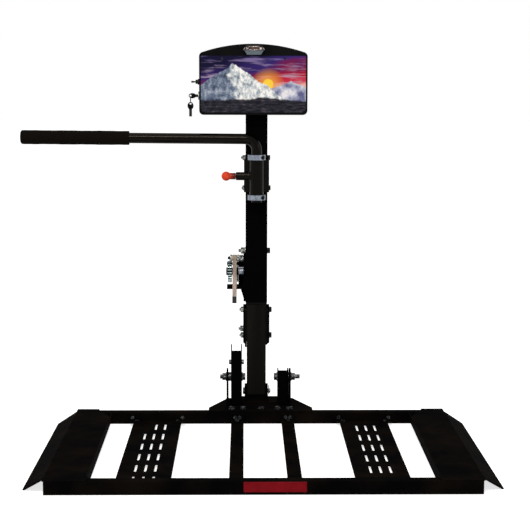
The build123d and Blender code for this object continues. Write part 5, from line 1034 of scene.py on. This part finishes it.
class LIFT_OT_bolts(bpy.types.Operator):
    """Makes the hexagon heads, nuts and threaded ends that the plain CAD ones stand for"""
    bl_idname = "lift.make_bolts"
    bl_label = "Make the bolts"

    def execute(self, context):
        piece = join_surfaces("platform_hex_bolts", tray_bolts(), "platform", "dull_zinc", 25)
        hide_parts("platform_bolts")
        nuts, heads, lamp = mast_bolts()
        join_surfaces("lamp_domed_screws", lamp, "mast", "lamp_trim", 25)
        piece = join_surfaces("mast_nuts_and_screws", nuts, "mast", "zinc_plate", 25)
        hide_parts("mast_bolts")
        # the mast's bolt heads take the dark zinc: painted shade
        join_surfaces("mast_bolt_heads", heads, "mast", "dark_zinc", 25)
        (left_x, *_), (right_x, *_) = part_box("upright_bolts")
        radius, left_length, right_length = 0.00638, 0.0078, 0.0140
        join_surfaces("pivot_bolt_threads", [
            screw_thread((left_x + left_length, PIVOT_Y, PIVOT_Z), LEFT, radius, left_length),
            screw_thread((right_x - right_length, PIVOT_Y, PIVOT_Z), RIGHT, radius, right_length),
        ], "carriage", "zinc_plate", 25)
        return {"FINISHED"}


def pad_lip(side, outline):
    """The lower end of one nylon guide pad: its outline in X and Z is carried along Y.

    The outline is drawn on the right of the mast, in millimetres, and side -1 mirrors it. Near both
    ends it draws in towards its middle by one less the sine of a quarter turn, for soft corners."""
    spacing, corner_size, drawn_share = 0.7, 0.6, 0.05
    front, back = 86.2, 131.8
    corners = np.array(outline + outline[:1], float)
    flat = resample(np.column_stack([corners, np.zeros(len(corners))]), spacing)[:-1, :2]
    quarter = np.linspace(0, np.pi / 2, 5)
    inset, depth = drawn_share * (1 - np.sin(quarter)), corner_size * (1 - np.cos(quarter))
    insets = np.concatenate([inset, inset[::-1]])[:, None, None]
    depths = np.concatenate([front + depth, back - depth[::-1]])[:, None]
    drawn = flat * (1 - insets) + flat.mean(axis=0) * insets
    points = np.stack([MAST_X / MM + side * drawn[..., 0], np.broadcast_to(depths, drawn.shape[:2]),
                       drawn[..., 1]], axis=-1)
    return Surface(capped(points) * MM)


class LIFT_OT_guides(bpy.types.Operator):
    """Makes the guide pads' lower lips, the black side plate of the strap's spool and its axle's nut"""
    bl_idname = "lift.make_guides"
    bl_label = "Make the lips and the spool's plate"

    def execute(self, context):
        # outlines in millimetres from the mast's middle; the left lip hangs lower and is rounder
        inner, outer, top = 28.5, 33.5, 226.0
        left = [(inner, top), (outer, top), (33.9, 214.0), (33.9, 208.4), (32.4, 206.8), (inner, 206.8)]
        right = [(inner, top), (outer, top), (outer, 216.4), (31.2, 213.6), (inner, 213.6)]
        join_surfaces("guide_pad_lips", [pad_lip(-1, left), pad_lip(1, right)], "mast", "black_plastic", 40)
        thick, rim, bore, mouth = 0.0038, 0.0310, 0.01115, 0.0118
        edge, chamfer = 0.0005, 0.0006
        profile = [(0.0, bore), (0.0, rim - chamfer), (edge, rim), (thick - edge, rim),
                   (thick, rim - chamfer), (thick, mouth), (thick - chamfer, bore)]
        plate_x, nut_x = -0.0688, -0.0963
        plate = turned(profile, (plate_x, WHEEL_Y, WHEEL_Z), RIGHT, 96)._replace(closed_u=True)
        join_surfaces("spool_side_plate", [plate], "ratchet", "black_powder_coat", 40)
        nut = hex_head((nut_x, WHEEL_Y, WHEEL_Z), LEFT, flats=0.0206, height=0.0046)
        join_surfaces("axle_end_nut", [nut], "mast", "dark_zinc", 25)
        return {"FINISHED"}


def straight_bead(start, end, up, radius):
    """A weld bead along the straight run between two points."""
    return weld_bead(np.linspace(start, end, 30), up, radius)


def beads_beside(radius, sides, ends, z):
    """Level weld beads along Y between two ends: one at each (X, side), facing that side and up."""
    return [straight_bead((x, ends[0], z), (x, ends[1], z), (side, 0, 1), radius) for x, side in sides]


def both_sides(*nodes):
    """The left and right faces of CAD nodes as (X, side), side being -1 for left and 1 for right."""
    return [(corner[0], side) for node in nodes for corner, side in zip(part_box(node), (-1, 1))]


class LIFT_OT_welds(bpy.types.Operator):
    """Makes the rippled weld beads on the arm sleeve, lugs, uprights, foot and hitch bar"""
    bl_idname = "lift.make_welds"
    bl_label = "Make the weld beads"

    def execute(self, context):
        radius = context.scene.lift_sizes.bead_radius
        # the bead round the plunger's barrel lies on the sleeve, a cylinder about the arm's axis
        barrel_radius, sleeve_radius, proud = 0.0123, 0.0205, 0.0004
        angle = np.linspace(0, TAU, 60)
        y, z = barrel_radius * np.cos(angle), barrel_radius * np.sin(angle)
        barrel = np.column_stack([MAST_X - np.sqrt(sleeve_radius**2 - y**2) - proud, ARM_Y + y, BARREL_Z + z])
        outwards = np.column_stack([-0.6 * np.ones_like(angle), np.cos(angle), np.sin(angle)])
        sleeve_y, sleeve_low, sleeve_high = 0.0684, 0.664, 0.759
        sleeve = [straight_bead((x, sleeve_y, sleeve_low), (x, sleeve_y, sleeve_high), facing, radius)
                  for x, facing in ((MAST_X - 0.0115, (-0.6, -1, 0)), (MAST_X + 0.0115, (0.6, -1, 0)))]
        join_surfaces("barrel_weld_bead", [weld_bead(barrel, outwards, radius * 0.9, True)] + sleeve,
                      "mast", "gloss_black_tube", 70)
        # the hitch bar's top edges beside its gussets, the spine's edges above it, and its lower edge
        low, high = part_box("hitch_bar")
        top_z, back_y = high[2] + 0.0006, low[1] + 0.0006
        welds = beads_beside(radius, ((MAST_X - 0.0252, -1), (MAST_X + 0.0252, 1)), (0.150, 0.240), top_z)
        welds += [straight_bead((x, back_y, 0.300), (x, back_y, 0.382), (side, 1, 0), radius)
                  for x, side in ((MAST_X - 0.0258, -1), (MAST_X + 0.0258, 1))]
        left, right = ((MAST_X + x, low[1] + 0.001, low[2] - proud) for x in (-0.025, 0.025))
        welds.append(straight_bead(left, right, (0, 1, -1), radius))
        join_surfaces("mast_weld_beads", welds, "mast", "black_powder_coat", 70)
        low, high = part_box("left_hinge_lug")
        welds = beads_beside(radius, both_sides("left_hinge_lug", "right_hinge_lug"),
                             (low[1] + 0.001, high[1] - 0.001), low[2] + proud)
        join_surfaces("platform_weld_beads", welds, "platform", "black_powder_coat", 70)
        # the uprights' feet, and the two cheeks of the clevis
        foot_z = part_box("left_upright")[0][2] + proud
        welds = beads_beside(radius, both_sides("left_upright", "right_upright"), (0.0645, 0.0835), foot_z)
        welds += beads_beside(radius, ((-0.0466, -1), (0.0226, 1)), (0.082, 0.136), foot_z)
        join_surfaces("carriage_weld_beads", welds, "carriage", "black_powder_coat", 70)
        return {"FINISHED"}


def key_head(hole, bow, half_sizes, hole_radius):
    """A key's moulded head: between the hole's circle and the bow's ellipse, a section that bulges.

    At each angle round, a point runs from hole to rim and back; its height is half the thickness
    times a power of the sine of that run."""
    thick = 0.0046
    turns, run = circle(48), angles(20)
    inner = np.array(hole) + hole_radius * turns
    outer = np.array(bow) + np.array(half_sizes) * turns
    share = ((1 - np.cos(run)) / 2)[:, None]
    height = np.sign(np.sin(run)) * np.abs(np.sin(run)) ** 0.45 * thick / 2
    flat = inner[:, None] * (1 - share) + outer[:, None] * share
    points = np.stack([flat[..., 0], np.broadcast_to(KEY_Y + height, flat.shape[:2]), flat[..., 1]], axis=-1)
    return Surface(points, True)


class LIFT_OT_keys(bpy.types.Operator):
    """Makes the moulded black heads of the two keys"""
    bl_idname = "lift.make_key_heads"
    bl_label = "Make the key heads"

    def execute(self, context):
        ring_x, bow_inset = JOINTS["spare_key_swing"][0], 0.0095
        bow_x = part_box("ignition_key")[0][0] + bow_inset
        head = key_head((ring_x, KEY_Z), (bow_x, KEY_Z), half_sizes=(0.0106, 0.0074), hole_radius=0.0031)
        join_surfaces("ignition_key_head", [head], "key", "black_plastic", 50)
        bow_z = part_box("spare_key")[1][2] - bow_inset
        head = key_head((ring_x, bow_z + 0.0052), (ring_x, bow_z - 0.0006), half_sizes=(0.0086, 0.0108),
                        hole_radius=0.0028)
        join_surfaces("spare_key_head", [head], "spare_keys", "black_plastic", 50)
        return {"FINISHED"}


def rim_bead(path, facing, radius):
    """A round bead along a closed path: a circle square to the path at each of its points."""
    tangent = path_frames(path, True)[0]
    side = np.cross(tangent, facing)
    side /= np.linalg.norm(side, axis=1)[:, None]
    across, above = circle(10).T[:, None, :, None]
    return Surface(path[:, None] + radius * (across * side[:, None] + above * np.array(facing)), True)


def collar_bore_shade(z):
    """A dark ring of painted shade round a collar's screw bore, lying on the collar's round face.

    A ring of width 2.3 mm runs round the bore; each of its points is laid on a cylinder about the
    arm's axis, whose depth is the root of the radius squared less the sideways distance squared."""
    bore_aside, bore, rim, outside, inside = 0.0183, 0.0038, 0.0061, 0.02562, 0.0252
    turns = circle(60)
    reach, shell = np.array([bore, rim, rim, bore]), np.array([outside, outside, inside, inside])
    aside = bore_aside + reach * turns[:, :1]
    y = ARM_Y - np.sqrt(shell**2 - aside**2)
    return Surface(np.stack([MAST_X + aside, y, z + reach * turns[:, 1:]], axis=-1), True)


def window_pane(x, y, z):
    """The lamp's inner window: its face bulges by one less the fourth power of the place, both ways."""
    half_width, half_height, rise, waviness = 0.0138, 0.0038, 0.0016, 0.00012
    edge_y, back_y = y + 0.0019, y + 0.0020
    across, up = np.linspace(-1, 1, 60)[:, None], np.linspace(-1, 1, 24)
    bulge = rise * (1 - across**4) * (1 - up**4) + waviness * np.sin(across * 40)
    grid = np.broadcast_arrays(x + half_width * across, edge_y - bulge, z + half_height * up)
    face = np.stack(grid, axis=-1)
    back = face.copy()
    back[..., 1] = back_y
    return Surface(capped(np.concatenate([face, back[:, ::-1]], axis=1)))


class LIFT_OT_panel_screws(bpy.types.Operator):
    """Makes the panel's four black screws, the lamp's window and bright trim, and the painted shade round the
    collars' screw bores
    """
    bl_idname = "lift.make_panel_details"
    bl_label = "Make the panel details"

    def execute(self, context):
        low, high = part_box("display_panel")
        middle, apart = (low[0] + high[0]) / 2, 0.089
        screws = [dome_screw((x, low[1] + 0.0001, z), FRONT, radius=0.0036, height=0.0016)
                  for x in (middle - apart, middle + apart) for z in (low[2] + 0.0145, high[2] - 0.0075)]
        join_surfaces("panel_screws", screws, "mast", "dark_zinc", 40)
        low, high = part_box("lamp_housing")
        x, y, z = (low[0] + high[0]) / 2, low[1], (low[2] + high[2]) / 2 - 0.001
        join_surfaces("lamp_window", [window_pane(x, y, z)], "mast", "lamp_window", 60)
        # the trim: a superellipse with nearly straight sides, and a bead down each end of the housing
        turns, half_sizes, bead = circle(120), (0.0150, 0.0047), 0.0006
        across, up = (np.sign(turns) * np.abs(turns) ** 0.35 * half_sizes).T
        outline = np.stack([x + across, np.full(len(turns), y - 0.0001), z + up], axis=1)
        trim = [rim_bead(outline, FRONT, bead)]
        for side in (-1, 1):
            foot, top = (x + side * 0.0301, y, low[2] + 0.0008), (x + side * 0.0246, y, low[2] + 0.0090)
            trim.append(straight_bead(foot, top, FRONT, bead))
        join_surfaces("lamp_trim", trim, "mast", "lamp_trim", 60)
        low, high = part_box("arm_collars")
        half_collar = 0.00735
        # painted shade round the collars' screw bores
        bore_shades = [collar_bore_shade(height) for height in (high[2] - half_collar, low[2] + half_collar)]
        join_surfaces("collar_bore_rims", bore_shades, "arm", "dark_zinc", 40)
        return {"FINISHED"}


def seen_directly(add):
    """1 for the camera's rays and for those by way of a mirror or glass, and 0 for the rest."""
    rays = add("LightPath", output=None)
    mirrored = add("Math MAXIMUM", rays["Is Camera Ray"], rays["Is Glossy Ray"])
    return add("Math MAXIMUM", mirrored, rays["Is Transmission Ray"])


def floor_paper():
    """White studio paper. The camera, mirrors and glass see it nearly white by its own light, and the
    rest of its white is lit by the lamps, so that the object's shadow shows."""
    material = bpy.data.materials.new("studio_paper")
    add = empty_tree(material)
    paper = add("BsdfDiffuse", Color="#F4F4F4")
    glow = add("Emission", Color="#FFFFFF", Strength=add("Math MULTIPLY", seen_directly(add), 0.72))
    add("OutputMaterial", Surface=add("AddShader", paper, glow))
    return material


def place_aimed(thing, place, aim):
    """Puts a camera or a lamp into the scene at a place, turned by a quaternion."""
    bpy.context.scene.collection.objects.link(thing)
    thing.location = place
    thing.rotation_mode = "QUATERNION"
    thing.rotation_quaternion = aim


class LIFT_OT_stage(bpy.types.Operator):
    """Sets the camera, the white floor, the even light and the soft lamps"""
    bl_idname = "lift.make_stage"
    bl_label = "Make the stage"

    def execute(self, context):
        scene = context.scene
        stage = scene.lift_stage
        # the camera as the photo's perspective gives it, in metres and degrees
        look_down, turn_right, roll = 7.619, 0.885, 0.127
        lens = bpy.data.cameras.new("photo_camera")
        lens.lens, lens.sensor_width, lens.clip_end = stage.lens, 36.0, 200.0
        camera = bpy.data.objects.new("photo_camera", lens)
        aim = Euler((radians(90 - look_down), 0, radians(-turn_right)), "XYZ").to_quaternion()
        place_aimed(camera, (-0.0479, -3.8765, 0.982), aim @ Quaternion(UP, radians(roll)))
        scene.camera = camera
        half, floor_z = stage.floor_size / 2, -0.0004
        mesh = bpy.data.meshes.new("studio_floor")
        mesh.from_pydata([(x * half, y * half, floor_z) for x, y in ((-1, -1), (1, -1), (1, 1), (-1, 1))],
                         [], [(0, 1, 2, 3)])
        mesh.materials.append(floor_paper())
        floor = bpy.data.objects.new("studio_floor", mesh)
        scene.collection.objects.link(floor)
        strip, warm, cool = (0.32, 1.3), "#FFF4E6", "#F4F6FF"
        # each lamp's name, power, place, the point that it faces, width and height, and colour
        lamps = (("front_strip", stage.front_power, (-0.5, -2.97, 3.44), (-0.2, 0.0, 0.7), (1.5, 0.25), warm),
                 ("left_strip", stage.left_power, (-3.3, -1.5, 1.5), (0, 0.0, 0.6), strip, cool),
                 ("right_strip", stage.right_power, (3.2, -1.9, 1.5), (0, 0.0, 0.6), strip, cool),
                 ("top", stage.top_power, (-0.2, -0.5, 3.0), (-0.2, 0.0, 0.5), (1.2, 1.2), "#FFF0E2"))
        for name, power, place, target, (width, height), colour in lamps:
            lamp = bpy.data.lights.new(name, "AREA")
            lamp.shape, lamp.energy = "RECTANGLE", power
            lamp.size, lamp.size_y, lamp.color = width, height, linear(colour)[:3]
            aim = (Vector(target) - Vector(place)).to_track_quat("-Z", "Y")
            place_aimed(bpy.data.objects.new(name, lamp), place, aim)
        scene.world = bpy.data.worlds.new("studio_light")
        add = empty_tree(scene.world)
        level = add("MapRange", seen_directly(add), 0.0, 1.0, stage.sky, 1.0)
        add("OutputWorld", Surface=add("Background", "#FFFFFF", level))
        scene.view_settings.view_transform = "Standard"
        return {"FINISHED"}


OPERATORS = (
    LIFT_OT_stage,
    LIFT_OT_platform,
    LIFT_OT_mast,
    LIFT_OT_drive,
    LIFT_OT_arm,
    LIFT_OT_ratchet,
    LIFT_OT_head,
    LIFT_OT_grip,
    LIFT_OT_strap,
    LIFT_OT_bolts,
    LIFT_OT_guides,
    LIFT_OT_welds,
    LIFT_OT_keys,
    LIFT_OT_panel_screws,
)


class LIFT_PT_dressing(bpy.types.Panel):
    """Lists the lift's sizes, colours and pieces"""
    bl_idname = "LIFT_PT_dressing"
    bl_label = "Wheelchair lift"
    bl_space_type = "VIEW_3D"
    bl_region_type = "UI"
    bl_category = "Lift"

    def draw(self, context):
        column = self.layout.column()
        for group in (context.scene.lift_sizes, context.scene.lift_colours, context.scene.lift_stage):
            for name in group.bl_rna.properties.keys():
                if name not in {"rna_type", "name"}:
                    column.prop(group, name)
        for operator in OPERATORS:
            column.operator(operator.bl_idname)


GROUPS = {"lift_sizes": LiftSizes, "lift_colours": LiftColours, "lift_stage": LiftStage}


def register():
    for name, group in GROUPS.items():
        bpy.utils.register_class(group)
        setattr(bpy.types.Scene, name, bpy.props.PointerProperty(type=group))
    for piece in (*OPERATORS, LIFT_PT_dressing):
        bpy.utils.register_class(piece)


def unregister():
    for piece in reversed((*OPERATORS, LIFT_PT_dressing)):
        bpy.utils.unregister_class(piece)
    for name, group in reversed(list(GROUPS.items())):
        delattr(bpy.types.Scene, name)
        bpy.utils.unregister_class(group)


def main():
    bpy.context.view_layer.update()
    register()
    for operator in OPERATORS:
        group, name = operator.bl_idname.split(".")
        getattr(getattr(bpy.ops, group), name)()


if __name__ == "__main__":
    main()
